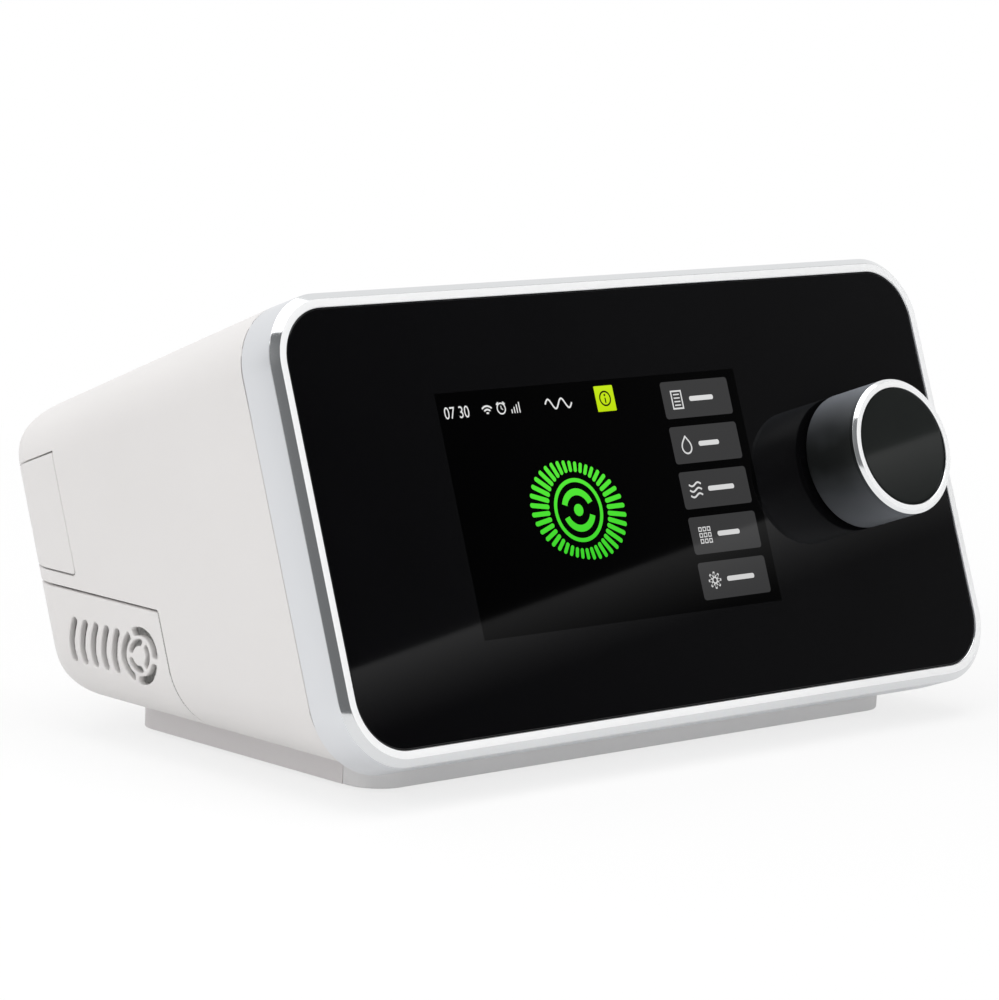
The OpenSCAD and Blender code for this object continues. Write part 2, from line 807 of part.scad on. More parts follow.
// Knob axis: z runs out of the glass
module knob_axis() {
    leaning() translate([knob_x, 0, knob_up]) rotate([90, 0, 0]) children();
}
module encoder_body() {
    color([0.6, 0.6, 0.62]) knob_axis() difference() {
        union() {
            translate([-enc_w / 2, -enc_w / 2, -plate_back - enc_d]) cube([enc_w, enc_w, enc_d]);
            translate([0, 0, -plate_back - 1]) cylinder(h = plate_back - 2, r = bush_r);
        }
        translate([0, 0, -plate_back - enc_d + enc_wall]) cylinder(h = far, r = shaft_r + run);
    }
}
module encoder_nut() {
    color([0.75, 0.74, 0.70]) knob_axis() difference() {
        translate([0, 0, -plate_front]) cylinder(h = nut_t, r = nut_r, $fn = 6);
        translate([0, 0, -plate_front - 1]) cylinder(h = nut_t + 2, r = bush_r);
    }
}
module encoder_plunger() {
    color([0.9, 0.85, 0.6]) knob_axis()
        translate([0, 0, -plate_back - enc_d + enc_wall + knob_press + press_gap])
            cylinder(h = plunger_t, r = shaft_r);
}
module encoder_shaft() {
    base = -plate_back - enc_d + enc_wall + knob_press + press_gap + plunger_t + hinge_play;
    color([0.78, 0.78, 0.80]) knob_axis() translate([0, 0, base])
        cylinder(h = knob_h - shaft_cover - base, r = shaft_r);
}
module knob_skirt() {
    web = knob_h - knob_rim;
    color([0.22, 0.24, 0.26]) knob_axis() difference() {
        translate([0, 0, knob_gap]) cylinder(h = web - knob_gap, r = knob_r);
        difference() {
            translate([0, 0, knob_gap - 1]) cylinder(h = web - knob_web - knob_gap + 1,
                                                     r = knob_r - knob_wall);
            cylinder(h = far, r = hub_r);
        }
        cylinder(h = knob_gap + fit, r = hub_r + 1);
        cylinder(h = knob_h - shaft_cover, r = shaft_r);
    }
}
module knob_ring() {
    base = knob_h - knob_rim;
    color([0.85, 0.86, 0.88]) knob_axis() difference() {
        union() {
            translate([0, 0, base]) cylinder(h = knob_rim - knob_edge, r = knob_r);
            translate([0, 0, knob_h - knob_edge])
                cylinder(h = knob_edge, r1 = knob_r, r2 = knob_r - knob_edge);
        }
        translate([0, 0, base - 1]) cylinder(h = far, r = cap_r + lap);
    }
}
module knob_cap() {
    color([0.1, 0.1, 0.11]) knob_axis() translate([0, 0, knob_h - knob_rim]) {
        cylinder(h = knob_rim - cap_sunk - cap_edge, r = cap_r);
        translate([0, 0, knob_rim - cap_sunk - cap_edge])
            cylinder(h = cap_edge, r1 = cap_r, r2 = cap_r - cap_edge);
    }
}
module knob_board() {
    color([0.1, 0.4, 0.25]) knob_axis()
        translate([-knob_board_w / 2, -knob_board_w / 2, -plate_back - enc_d - board_t])
            cube([knob_board_w, knob_board_w, board_t]);
}
module speaker() {
    color([0.15, 0.15, 0.16]) leaning() difference() {
        pin_back(speaker_x, speaker_up, plate_back, plate_back + speaker_t, speaker_r);
        pin_back(speaker_x, speaker_up, plate_back + speaker_t - cone_deep, far, cone_r);
    }
}

// Filter cover with its slots and round grille
module filter_cover() {
    color([0.88, 0.87, 0.86]) difference() {
        intersection() {
            casing_layer(0, cover_t, tub_front);
            cover_zone(cover_gap, cover_drop);
        }
        cover_slots();
    }
}
module cover_slots() {
    translate([-frame_w / 2 - 1, glass_y, 0]) rotate([90, 0, 90]) linear_extrude(cover_t + 3) {
        for (i = [0 : slot_count - 1])
            translate([slot_y - i * slot_pitch, (slot_low + slot_high) / 2]) bowed_slot();
        translate([grille_y, grille_z]) {
            grille_arcs(grille_r, grille_ring, grille_bars, grille_bar);
            grille_arcs(grille_in_r, grille_in_ring, grille_in_bars, grille_in_bar);
        }
    }
}

// A bowed slot with round ends
module bowed_slot() {
    half = (slot_high - slot_low) / 2;
    radius = (pow(half, 2) + pow(slot_bulge, 2)) / (2 * slot_bulge);
    reach = half - slot_w / 2;
    span = slot_bulge + slot_w;
    translate([slot_bulge / 2, 0]) {
        intersection() {
            translate([-radius, 0]) difference() {
                circle(radius + slot_w / 2);
                circle(radius - slot_w / 2);
            }
            translate([-span, -reach]) square([2 * span, 2 * reach]);
        }
        for (side = [-1, 1])
            translate([sqrt(pow(radius, 2) - pow(reach, 2)) - radius, side * reach])
                circle(slot_w / 2);
    }
}

// A ring of openings with a solid bar at each of the turns
module grille_arcs(outer, width, turns, bar) {
    difference() {
        circle(outer);
        circle(outer - width);
        for (turn = turns)
            rotate(turn) translate([0, -bar / 2]) square([2 * outer, bar]);
    }
}
module intake_filter() {
    color([0.93, 0.93, 0.93]) intersection() {
        casing_form(cover_t + filter_gap, tub_front);
        cover_zone(filter_in);
        leaning() block([pocket_x - lap - filter_t, pocket_x - lap], [0, body_d - filter_back],
                        [-far, far]);
    }
}
module intake_grommet() {
    color([0.3, 0.3, 0.32]) leaning() difference() {
        across(pocket_x, box_l + box_wall) translate([intake_d, up_at(intake_z, intake_d)])
            circle(intake_r + grommet_t);
        across(pocket_x - 1, box_l + box_wall + 1)
            translate([intake_d, up_at(intake_z, intake_d)]) circle(intake_r);
    }
}

// Port door, hinged at its inner end on the back
module port_door() {
    color([0.88, 0.87, 0.86]) difference() {
        union() {
            difference() {
                union() {
                    intersection() {
                        casing_layer(0, door_lip, tub_front);
                        door_zone(cover_gap);
                    }
                    intersection() {
                        casing_layer(0, door_t, tub_front);
                        door_zone(cover_gap, door_rise);
                    }
                }
                leaning() pin_up(hinge_x, hinge_d, -far, far, barrel_r + barrel_room);
            }
            leaning() {
                pin_up(hinge_x, hinge_d, barrel_lo, barrel_hi, barrel_r);
                block([hinge_x - leaf_l, hinge_x], [hinge_d, body_d - 0.3], [barrel_lo, barrel_hi]);
            }
        }
        leaning() pin_up(hinge_x, hinge_d, -far, far, hinge_pin_r + hinge_play);
    }
}
module door_hinge_pin() {
    color("silver") leaning() pin_up(hinge_x, hinge_d, pin_lo, pin_hi, hinge_pin_r);
}
module port_board() {
    color([0.1, 0.4, 0.25]) leaning()
        block([port_x, port_x + board_t], [door_front + 1, back_in - port_end],
              [port_lo - 1, port_hi + 1]);
}
module usb_socket() {
    color("silver") leaning() difference() {
        block([port_mouth, port_x], [usb_d, usb_d + usb_w], [usb_lo, usb_lo + usb_h]);
        block([port_mouth - 1, port_x - 3 * port_wall],
              [usb_d + port_wall, usb_d + usb_w - port_wall],
              [usb_lo + port_wall, usb_lo + usb_h - port_wall]);
    }
    color([0.1, 0.1, 0.1]) leaning() block([port_mouth + 2 * port_wall, port_x - 3 * port_wall],
        [usb_d + usb_w / 2 - tongue_t / 2, usb_d + usb_w / 2 + tongue_t / 2],
        [usb_lo + 3 * port_wall, usb_lo + usb_h - 3 * port_wall]);
}
module card_socket() {
    color([0.15, 0.15, 0.16]) leaning() difference() {
        block([port_mouth + card_wall, port_x], [card_d, card_d + card_w],
              [port_lo, port_hi - card_wall]);
        block([port_mouth, port_x - card_wall], [card_d + card_wall, card_d + card_w - card_wall],
              [port_lo + card_wall, port_hi - 2 * card_wall]);
    }
}

module main_board() {
    color([0.1, 0.4, 0.25]) leaning() {
        difference() {
            block([-board_w / 2, board_w / 2], [board_d, board_d + board_t],
                  [board_lo, board_hi]);
            board_places() rotate([-90, 0, 0]) cylinder(h = far, r = pin_r + screw_play);
        }
        for (i = [0 : 2])
            block([chip_x + chip_step * i, chip_x + chip_step * i + chip_w],
                  [board_d - chip_t, board_d], [chip_lo, chip_lo + chip_w]);
        block([plug_x, plug_x + plug_w], [board_d - plug_h, board_d], [plug_lo, plug_lo + plug_h]);
        block([coil_x, coil_x + plug_w], [board_d - coil_h, board_d],
              [board_lo + 8, board_lo + 8 + coil_h]);
    }
}
module board_screws() {
    color("silver") leaning() board_places() {
        translate([0, board_d + board_t - plate_back + bite, 0]) rotate([-90, 0, 0])
            cylinder(h = pin_head_t, r = pin_head_r);
        translate([0, board_d - plate_back + bite - pin_l, 0]) rotate([-90, 0, 0])
            cylinder(h = pin_l + board_t, r = pin_r);
    }
}
module coin_cell() {
    color("silver") leaning() pin_back(cell_x, board_hi - 16, board_d + board_t,
                                       board_d + board_t + cell_t, cell_r);
}
module screen_cable() {
    color([0.75, 0.5, 0.2]) leaning() across(plug_x + 2, plug_x + plug_w - 2) polygon(
        [[plate_front, mid_b], [plate_front + cable_out, mid_b],
         [board_d - plug_h, plug_lo + cable_t], [board_d - plug_h, plug_lo + 2 * cable_t],
         [plate_front + cable_out - cable_t / 2, mid_b + cable_t], [plate_front, mid_b + cable_t]]);
}

module power_board() {
    color([0.1, 0.4, 0.25]) leaning() {
        block([power_l, power_r], [power_d, power_d + board_t], [power_lo, power_hi]);
        block([power_l + 4, power_l + 4 + coil_w], [power_d - coil_t, power_d],
              [power_hi - 2 - coil_w, power_hi - 2]);
        for (x = [power_r - 22, power_r - 10])
            pin_back(x, power_hi - 10, power_d - can_l, power_d, can_r);
        for (b = [power_lo + tab_in, power_hi - tab_in])
            block([power_r - 6, half_in], [power_d + board_t, power_d + 4],
                  [b - tab_t / 2, b + tab_t / 2]);
    }
}
module dc_inlet() {
    back = body_d - dc_sunk;
    color([0.12, 0.12, 0.13]) leaning() difference() {
        block([dc_x - dc_w / 2, dc_x + dc_w / 2], [power_d + board_t, back],
              [dc_up - dc_h / 2, dc_up + dc_h / 2]);
        pin_back(dc_x, dc_up, back - dc_clear, back + 1, dc_bore);
        pin_back(dc_x, dc_up, back - dc_clear - dc_pin_l + bite, back, dc_bore - dc_step);
    }
    color("silver") leaning()
        pin_back(dc_x, dc_up, back - dc_clear - dc_pin_l, back - dc_clear, dc_pin_r);
}
module power_button() {
    color([0.25, 0.25, 0.27]) leaning() {
        pin_back(button_x, button_up, back_in - 1, body_d + button_proud - button_edge, button_r);
        translate([button_x, body_d + button_proud - button_edge, button_up]) rotate([-90, 0, 0])
            cylinder(h = button_edge, r1 = button_r, r2 = button_r - button_edge);
        pin_back(button_x, button_up, back_in - button_gap - button_lip_t, back_in - button_gap,
                 button_r + button_lip);
        pin_back(button_x, button_up, power_d + board_t + switch_t + switch_key + button_travel + fit,
                 back_in - 1, stem_r);
    }
}
module power_switch() {
    base = power_d + board_t;
    color([0.1, 0.1, 0.11]) leaning() {
        block([button_x - switch_w / 2, button_x + switch_w / 2], [base, base + switch_t],
              [button_up - switch_w / 2, button_up + switch_w / 2]);
        pin_back(button_x, button_up, base, base + switch_t + switch_key, stem_r - 2 * fit);
    }
}

// Air box: a tray and a lid that meet at the height of the outlet
module box_outline(inset) {
    polygon([[box_front + inset, up_at(box_z + inset, box_front + inset)],
             [box_back - inset, up_at(box_z + inset, box_back - inset)],
             [box_back - inset, box_top - inset], [box_front + inset, box_top - inset]]);
}
module box_holes() {
    pin_back(outlet_x, outlet_up, box_back - box_wall - 1, box_back + 1, duct_r + sleeve_t);
    across(box_l - 1, box_l + box_wall + 1) translate([intake_d, up_at(intake_z, intake_d)])
        circle(intake_r + grommet_t);
}
module ear_places() {
    for (sx = [-1, 1], sd = [-1, 1])
        translate([fan_x + sx * ear_at, fan_d + sd * ear_at, 0]) children();
}
module air_box_tray() {
    color([0.8, 0.8, 0.8]) leaning() difference() {
        union() {
            difference() {
                across(box_l, box_r) box_outline(0);
                across(box_l + box_wall, box_r - box_wall) box_outline(box_wall);
            }
            intersection() {
                across(box_l, box_r) box_outline(0);
                ear_places() cylinder(h = fan_lo - mount_h, r = mount_r + 1);
            }
        }
        box_holes();
        block([-far, far], [0, far], [outlet_up, far]);
    }
}
module air_box_lid() {
    color([0.8, 0.8, 0.8]) leaning() difference() {
        across(box_l, box_r) box_outline(0);
        across(box_l + box_wall, box_r - box_wall) box_outline(box_wall);
        box_holes();
        block([-far, far], [0, far], [-far, outlet_up]);
    }
}
module silencer_foam() {
    color([0.35, 0.35, 0.36]) leaning() difference() {
        across(box_l + box_wall, fan_x - fan_case_r - foam_gap) box_outline(box_wall);
        across(box_l, 0) translate([intake_d, up_at(intake_z, intake_d)]) circle(intake_r);
        across(box_l, 0) translate([fan_d, outlet_up + foam_up]) circle(foam_bore);
    }
}

// Blower: a fan casing in two halves with a tangential outlet and the motor below
module fan_solid(r, h, pipe, pipe_end) {
    pin_up(fan_x, fan_d, outlet_up - h / 2, outlet_up + h / 2, r);
    pin_back(outlet_x, outlet_up, fan_d, pipe_end, pipe);
}
module blower_lower_case() {
    color([0.9, 0.9, 0.88]) leaning() difference() {
        union() {
            fan_solid(fan_case_r, fan_case_h, duct_r, duct_end);
            pin_up(fan_x, fan_d, motor_lo, fan_lo + 1, motor_r);
            for (turn = [45, 135, 225, 315])
                translate([fan_x, fan_d, fan_lo]) rotate(turn)
                    translate([fan_case_r - 2, -mount_r, 0])
                        cube([ear_at * sqrt(2) - fan_case_r + 2, 2 * mount_r, ear_t]);
            ear_places() translate([0, 0, fan_lo]) cylinder(h = ear_t, r = mount_r);
        }
        fan_solid(fan_case_r - case_t, fan_case_h - 2 * case_t, duct_bore, far);
        pin_up(fan_x, fan_d, motor_lo + case_t, fan_lo + 10, stator_r);
        pin_up(fan_x, fan_d, motor_lo - 1, far, axle_r + axle_room);
        block([-far, far], [0, far], [outlet_up, far]);
    }
}
module blower_upper_case() {
    color([0.9, 0.9, 0.88]) leaning() difference() {
        fan_solid(fan_case_r, fan_case_h, duct_r, duct_end);
        fan_solid(fan_case_r - case_t, fan_case_h - 2 * case_t, duct_bore, far);
        pin_up(fan_x, fan_d, 0, far, eye_r);
        block([-far, far], [0, far], [-far, outlet_up]);
    }
}
module blower_wheel() {
    lo = fan_lo + case_t + wheel_lift;
    color([0.2, 0.2, 0.22]) leaning() translate([fan_x, fan_d, lo]) difference() {
        union() {
            cylinder(h = wheel_t, r = wheel_r);
            cylinder(h = hub_h, r = axle_r + wheel_hub);
            for (i = [0 : blades - 1]) rotate(i * 360 / blades)
                translate([blade_in, -blade_t / 2, 0]) rotate(blade_turn)
                    cube([wheel_r - blade_in - 0.6, blade_t, hub_h + shroud_t / 2]);
            translate([0, 0, hub_h]) difference() {
                cylinder(h = shroud_t, r = wheel_r);
                translate([0, 0, -1]) cylinder(h = far, r = shroud_bore);
            }
        }
        translate([0, 0, -1]) cylinder(h = far, r = axle_r);
    }
}
module blower_shaft() {
    color("silver") leaning() pin_up(fan_x, fan_d, motor_lo + case_t + 0.3,
                                     fan_lo + case_t + hub_h + 1, axle_r);
}
module motor_rotor() {
    color([0.3, 0.3, 0.32]) leaning() difference() {
        pin_up(fan_x, fan_d, motor_lo + case_t + bearing_h + 3 * fit, fan_lo - bearing_h - fit,
               rotor_r);
        pin_up(fan_x, fan_d, 0, far, axle_r);
    }
}
module motor_stator() {
    color([0.72, 0.45, 0.25]) leaning() difference() {
        pin_up(fan_x, fan_d, motor_lo + case_t, fan_lo + case_t, stator_r);
        pin_up(fan_x, fan_d, 0, far, rotor_r + rotor_gap);
    }
}
module blower_bearings() {
    color([0.7, 0.7, 0.72]) leaning() for (b = [motor_lo + case_t, fan_lo + fit - bearing_h])
        difference() {
            pin_up(fan_x, fan_d, b, b + bearing_h, rotor_r + rotor_gap);
            pin_up(fan_x, fan_d, 0, far, axle_r + run);
        }
}
module blower_mounts() {
    color([0.85, 0.4, 0.3]) leaning() ear_places() translate([0, 0, fan_lo - mount_h])
        cylinder(h = mount_h, r = mount_r);
}
module flow_sensor() {
    start = fan_d + sensor_at;
    color([0.15, 0.3, 0.5]) leaning() difference() {
        union() {
            pin_back(outlet_x, outlet_up, start, start + sensor_l, duct_r + sensor_wall);
            block([outlet_x - sensor_w / 2, outlet_x + sensor_w / 2], [start, start + sensor_l],
                  [outlet_up + duct_r - 1, outlet_up + sensor_h]);
        }
        pin_back(outlet_x, outlet_up, 0, far, duct_r + run);
        pin_up(fan_x, fan_d, 0, far, fan_case_r + fit);
        block([-far, far], [0, far], [0, outlet_up]);
    }
}
module outlet_sleeve() {
    color([0.3, 0.3, 0.32]) leaning() difference() {
        pin_back(outlet_x, outlet_up, fan_d + fan_case_r - sleeve_lap,
                 back_in - seal_t - flange_t - fit, duct_r + sleeve_t);
        pin_back(outlet_x, outlet_up, 0, far, duct_r + run);
    }
}

// Air outlet: a straight round spigot with a flange inside the casing
module air_outlet() {
    color([0.9, 0.9, 0.9]) leaning() difference() {
        union() {
            pin_back(outlet_x, outlet_up, duct_end + 0.5, back_in - seal_t, duct_r);
            pin_back(outlet_x, outlet_up, back_in - seal_t - flange_t, back_in - seal_t,
                     collar_r + flange_w);
            pin_back(outlet_x, outlet_up, back_in - seal_t - 0.5, body_d + collar_h, collar_r);
            pin_back(outlet_x, outlet_up, body_d, body_d + outlet_l, outlet_r);
        }
        pin_back(outlet_x, outlet_up, duct_end, far, duct_bore);
        pin_back(outlet_x, outlet_up, body_d + outlet_l - mouth_l, far, outlet_bore);
    }
}
module outlet_seal() {
    color([0.3, 0.3, 0.32]) leaning() difference() {
        pin_back(outlet_x, outlet_up, back_in - seal_t, back_in, collar_r + flange_w - bite);
        pin_back(outlet_x, outlet_up, back_in - 2 * seal_t, back_in + 1, collar_r);
    }
}

rear_housing();
base_shell();
foot_front_strip();
bezel_frame();
front_glass();
glass_tape();
screen_module();
front_chassis();
encoder_body();
encoder_nut();
encoder_plunger();
encoder_shaft();
knob_skirt();
knob_ring();
knob_cap();
knob_board();
filter_cover();
intake_filter();
intake_grommet();
port_door();
door_hinge_pin();
port_board();
usb_socket();
card_socket();
main_board();
coin_cell();
board_screws();
chassis_screws();
speaker();
screen_cable();
power_board();
dc_inlet();
power_button();
power_switch();
air_box_tray();
air_box_lid();
silencer_foam();
blower_lower_case();
blower_upper_case();
blower_wheel();
motor_rotor();
blower_shaft();
motor_stator();
blower_bearings();
blower_mounts();
flow_sensor();
outlet_sleeve();
air_outlet();
outlet_seal();
rubber_feet();
base_screws();
rating_plate();
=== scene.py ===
"""Dresses the breathing machine: casing, metal front, glass, screen, knob, covers and base."""
import logging
import math
from dataclasses import dataclass, field
from enum import Enum
from functools import partial
from typing import Callable, Iterable, Optional, Sequence, Union

import bmesh
import bpy
import numpy as np
from mathutils import Matrix, Vector


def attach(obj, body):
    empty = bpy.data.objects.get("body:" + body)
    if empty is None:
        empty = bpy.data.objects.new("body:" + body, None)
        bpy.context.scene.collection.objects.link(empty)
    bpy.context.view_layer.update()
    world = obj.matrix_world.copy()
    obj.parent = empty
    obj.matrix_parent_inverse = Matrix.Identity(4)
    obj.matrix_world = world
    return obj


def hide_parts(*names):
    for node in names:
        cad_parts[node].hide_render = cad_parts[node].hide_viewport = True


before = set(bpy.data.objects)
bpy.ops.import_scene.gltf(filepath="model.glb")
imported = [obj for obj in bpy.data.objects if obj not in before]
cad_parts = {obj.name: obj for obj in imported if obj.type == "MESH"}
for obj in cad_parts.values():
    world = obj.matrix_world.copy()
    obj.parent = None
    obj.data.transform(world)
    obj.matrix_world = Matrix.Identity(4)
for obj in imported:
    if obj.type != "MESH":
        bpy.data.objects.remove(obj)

logging.basicConfig(level=logging.INFO, format="%(message)s")
log = logging.getLogger("machine")

MM = 0.001
SKIN = "skin_normal"
Colour = tuple[float, float, float]
Array = np.ndarray
Value = Union["Shade", float]


class Body(Enum):
    """The bodies that new pieces ride on."""

    MACHINE = "machine"
    KNOB = "knob"
    FILTER_COVER = "filter_cover"
    PORT_DOOR = "port_door"
    POWER_BUTTON = "power_button"


# Shader expressions


class Shade:
    """A shader value. Python's operators on it add the Math nodes."""

    def __init__(self, board: "Board", socket: bpy.types.NodeSocket) -> None:
        """Wraps an output socket of a board."""
        self.board = board
        self.socket = socket

    def math(self, operation: str, *others: Value, clamp: bool = False) -> "Shade":
        """Adds one Math node.

        Args:
            operation: the node's operation.
            others: its second and third values.
            clamp: whether the result is kept between 0 and 1.

        Returns:
            The node's result.
        """
        values = dict(enumerate((self, *others)))
        made = self.board.node("ShaderNodeMath", values, operation=operation, use_clamp=clamp)
        return Shade(self.board, made.outputs[0])

    def __add__(self, other: Value) -> "Shade":
        """Sum."""
        return self.math("ADD", other)

    __radd__ = __add__

    def __sub__(self, other: Value) -> "Shade":
        """Difference."""
        return self.math("SUBTRACT", other)

    def __rsub__(self, other: float) -> "Shade":
        """Difference from a number."""
        return (self * -1.0).math("ADD", other)

    def __mul__(self, other: Value) -> "Shade":
        """Product."""
        return self.math("MULTIPLY", other)

    __rmul__ = __mul__

    def __truediv__(self, other: Value) -> "Shade":
        """Quotient."""
        return self.math("DIVIDE", other)

    def __rtruediv__(self, other: float) -> "Shade":
        """A number divided by the value."""
        return self.math("POWER", -1.0) * other

    def clamped(self) -> "Shade":
        """The value kept between 0 and 1."""
        return self.math("ADD", 0.0, clamp=True)


class Board:
    """The node tree of one material or of the world."""

    def __init__(self, tree: bpy.types.NodeTree) -> None:
        """Empties the tree and keeps it."""
        self.tree = tree
        tree.nodes.clear()

    def node(self, kind: str, inputs: Optional[dict] = None, **settings: object) -> bpy.types.Node:
        """Makes any node.

        Args:
            kind: the node's type.
            inputs: values or Shades for its sockets, by name or number.
            settings: its properties, which are set first.

        Returns:
            The new node.
        """
        made = self.tree.nodes.new(kind)
        for key, value in settings.items():
            setattr(made, key, value)
        for key, value in (inputs or {}).items():
            if isinstance(value, Shade):
                self.tree.links.new(value.socket, made.inputs[key])
            else:
                made.inputs[key].default_value = value
        return made

    def out(self, made: bpy.types.Node, key: Union[int, str] = 0) -> Shade:
        """One output of a node as a Shade."""
        return Shade(self, made.outputs[key])

    def place(self) -> Shade:
        """Object coordinates, which are the machine's own frame in metres."""
        return self.out(self.node("ShaderNodeTexCoord"), "Object")

    def scaled(self, size_mm: float, stretch: Colour = (1.0, 1.0, 1.0), tip: float = 0.0) -> Shade:
        """Places in steps of size_mm, tipped about x and drawn out along an axis by stretch."""
        scale = tuple(1.0 / (size_mm * MM * s) for s in stretch)
        return self.out(self.node("ShaderNodeMapping", {
            "Vector": self.place(), "Rotation": (tip, 0.0, 0.0), "Scale": scale}))

    def noise(self, size_mm: float, detail: float = 2.0, rough: float = 0.5,
              stretch: Colour = (1.0, 1.0, 1.0)) -> Shade:
        """Noise whose features are about size_mm wide, drawn out along an axis by stretch."""
        return self.out(self.node("ShaderNodeTexNoise", {
            "Vector": self.scaled(size_mm, stretch), "Scale": 1.0,
            "Detail": detail, "Roughness": rough}))

    def blend(self, factor: Value, first: Colour, second: Colour) -> Shade:
        """Mixes two colours by a factor."""
        made = self.node("ShaderNodeMix", {0: factor, 6: (*first, 1.0), 7: (*second, 1.0)},
                         data_type="RGBA")
        return self.out(made, 2)

    def mixed(self, factor: Shade, first: bpy.types.Node, second: bpy.types.Node) -> bpy.types.Node:
        """Mixes two shaders by a factor."""
        inputs = {0: factor, 1: self.out(first), 2: self.out(second)}
        return self.node("ShaderNodeMixShader", inputs)

    def bump(self, height: Shade, depth_mm: float) -> Shade:
        """A normal from a height between 0 and 1, depth_mm deep."""
        return self.out(self.node("ShaderNodeBump", {
            "Height": height, "Distance": depth_mm * MM, "Strength": 1.0}))

    def rays(self, *kinds: str) -> Shade:
        """1 where the ray is of one of these kinds, and 0 elsewhere."""
        path = self.node("ShaderNodeLightPath")
        return sum((self.out(path, f"Is {kind} Ray") for kind in kinds), 0.0).clamped()

    def glow(self, colour: Union[Shade, Colour]) -> bpy.types.Node:
        """An emission of strength 1."""
        shown = colour if isinstance(colour, Shade) else (*colour, 1.0)
        return self.node("ShaderNodeEmission", {"Color": shown, "Strength": 1.0})

    def close(self, shader: bpy.types.Node, kind: str = "Material") -> None:
        """Joins a shader to the output."""
        output = self.node(f"ShaderNodeOutput{kind}")
        self.tree.links.new(shader.outputs[0], output.inputs[0])

    def finish(self, surface: dict) -> None:
        """Adds the Principled shader with these sockets and the output."""
        self.close(self.node("ShaderNodeBsdfPrincipled", surface))


def new_material(name: str) -> tuple[bpy.types.Material, Board]:
    """A material and its empty board."""
    made = bpy.data.materials.new(name)
    made.use_nodes = True
    return made, Board(made.node_tree)


_made: dict[str, bpy.types.Material] = {}


@dataclass(frozen=True)
class Finish:
    """A finish with a name. Its material is made once."""

    name: str

    def material(self) -> bpy.types.Material:
        """The material, made on first use."""
        if self.name not in _made:
            _made[self.name], board = new_material(self.name)
            self.draw(board)
        return _made[self.name]

    def draw(self, board: Board) -> None:
        """Draws the nodes. Each kind of finish has its own."""
        raise NotImplementedError


@dataclass(frozen=True)
class Moulded(Finish):
    """Moulded plastic or rubber: two close tones, a fine spark-eroded grain and a soft gloss."""

    colour: Colour
    tone: Colour
    rough: float = 0.42
    grain_mm: float = 0.35
    depth_mm: float = 0.006
    specular: float = 0.5
    drift_mm: float = 38.0
    swing: float = 0.10

    def draw(self, board: Board) -> None:
        """Draws slow colour variation, grain and roughness that follows the grain."""
        drift = board.noise(self.drift_mm, detail=1.0)
        grain = board.noise(self.grain_mm, detail=3.0, rough=0.6)
        board.finish({
            "Base Color": board.blend(drift, self.colour, self.tone),
            "Roughness": (grain - 0.5) * self.swing + self.rough,
            "Normal": board.bump(grain, self.depth_mm),
            "Specular IOR Level": self.specular,
        })


@dataclass(frozen=True)
class Metal(Finish):
    """Bare or plated metal with a blasted or brushed surface."""

    colour: Colour
    tone: Colour
    rough: float = 0.3
    grain_mm: float = 0.15
    depth_mm: float = 0.002
    stretch: Colour = (1.0, 1.0, 1.0)
    metallic: float = 1.0
    grain_share: float = 0.3
    drift_mm: float = 24.0
    swing: float = 0.12

    def draw(self, board: Board) -> None:
        """Draws the grain, drawn out along the brushing, and a slow drift of tone."""
        grain = board.noise(self.grain_mm, detail=3.0, rough=0.55, stretch=self.stretch)
        drift = board.noise(self.drift_mm, detail=1.0)
        shift = drift * (1 - self.grain_share) + grain * self.grain_share
        board.finish({
            "Base Color": board.blend(shift, self.colour, self.tone),
            "Metallic": self.metallic,
            "Roughness": (grain - 0.5) * self.swing + self.rough,
            "Normal": board.bump(grain, self.depth_mm),
        })


@dataclass(frozen=True)
class BlackGlass(Finish):
    """Polished black glass, with the faintest unevenness in its gloss."""

    colour: Colour
    rough: float = 0.02
    ior: float = 1.5
    lift: float = 1.4
    haze_mm: float = 30.0
    swing: float = 0.02

    def draw(self, board: Board) -> None:
        """Draws the gloss."""
        haze = board.noise(self.haze_mm, detail=3.0)
        board.finish({
            "Base Color": board.blend(haze, self.colour, tuple(self.lift * c for c in self.colour)),
            "Roughness": haze * self.swing + self.rough,
            "IOR": self.ior,
        })


@dataclass(frozen=True)
class Lit(Finish):
    """A lit mark of the screen, under the same gloss as the glass. Its colour runs up the glass."""

    low: Colour
    high: Colour
    from_z: float
    to_z: float
    strength: float = 1.0
    rough: float = 0.02
    haze_mm: float = 30.0
    swing: float = 0.02

    def draw(self, board: Board) -> None:
        """Draws the emission, from the lower colour to the upper one, and the glass's gloss."""
        height = board.out(board.node("ShaderNodeSeparateXYZ", {0: board.place()}), 2)
        run = ((height - self.from_z * MM) / ((self.to_z - self.from_z) * MM)).clamped()
        board.finish({
            "Base Color": (0.002, 0.002, 0.002, 1.0),
            "Roughness": board.noise(self.haze_mm, detail=3.0) * self.swing + self.rough,
            "Emission Color": board.blend(run, self.low, self.high),
            "Emission Strength": self.strength,
        })


@dataclass(frozen=True)
class Foam(Finish):
    """Open foam or filter fleece: deep, coarse and matt."""

    colour: Colour
    tone: Colour
    cell_mm: float = 0.9
    depth_mm: float = 0.25
    rough: float = 0.95

    def draw(self, board: Board) -> None:
        """Draws cells as a Voronoi pattern that also gives the height."""
        made = board.node("ShaderNodeTexVoronoi", {
            "Vector": board.scaled(self.cell_mm), "Scale": 1.0})
        cells = board.out(made, "Distance")
        board.finish({
            "Base Color": board.blend(cells.clamped(), self.tone, self.colour),
            "Roughness": self.rough,
            "Normal": board.bump(cells, self.depth_mm),
        })


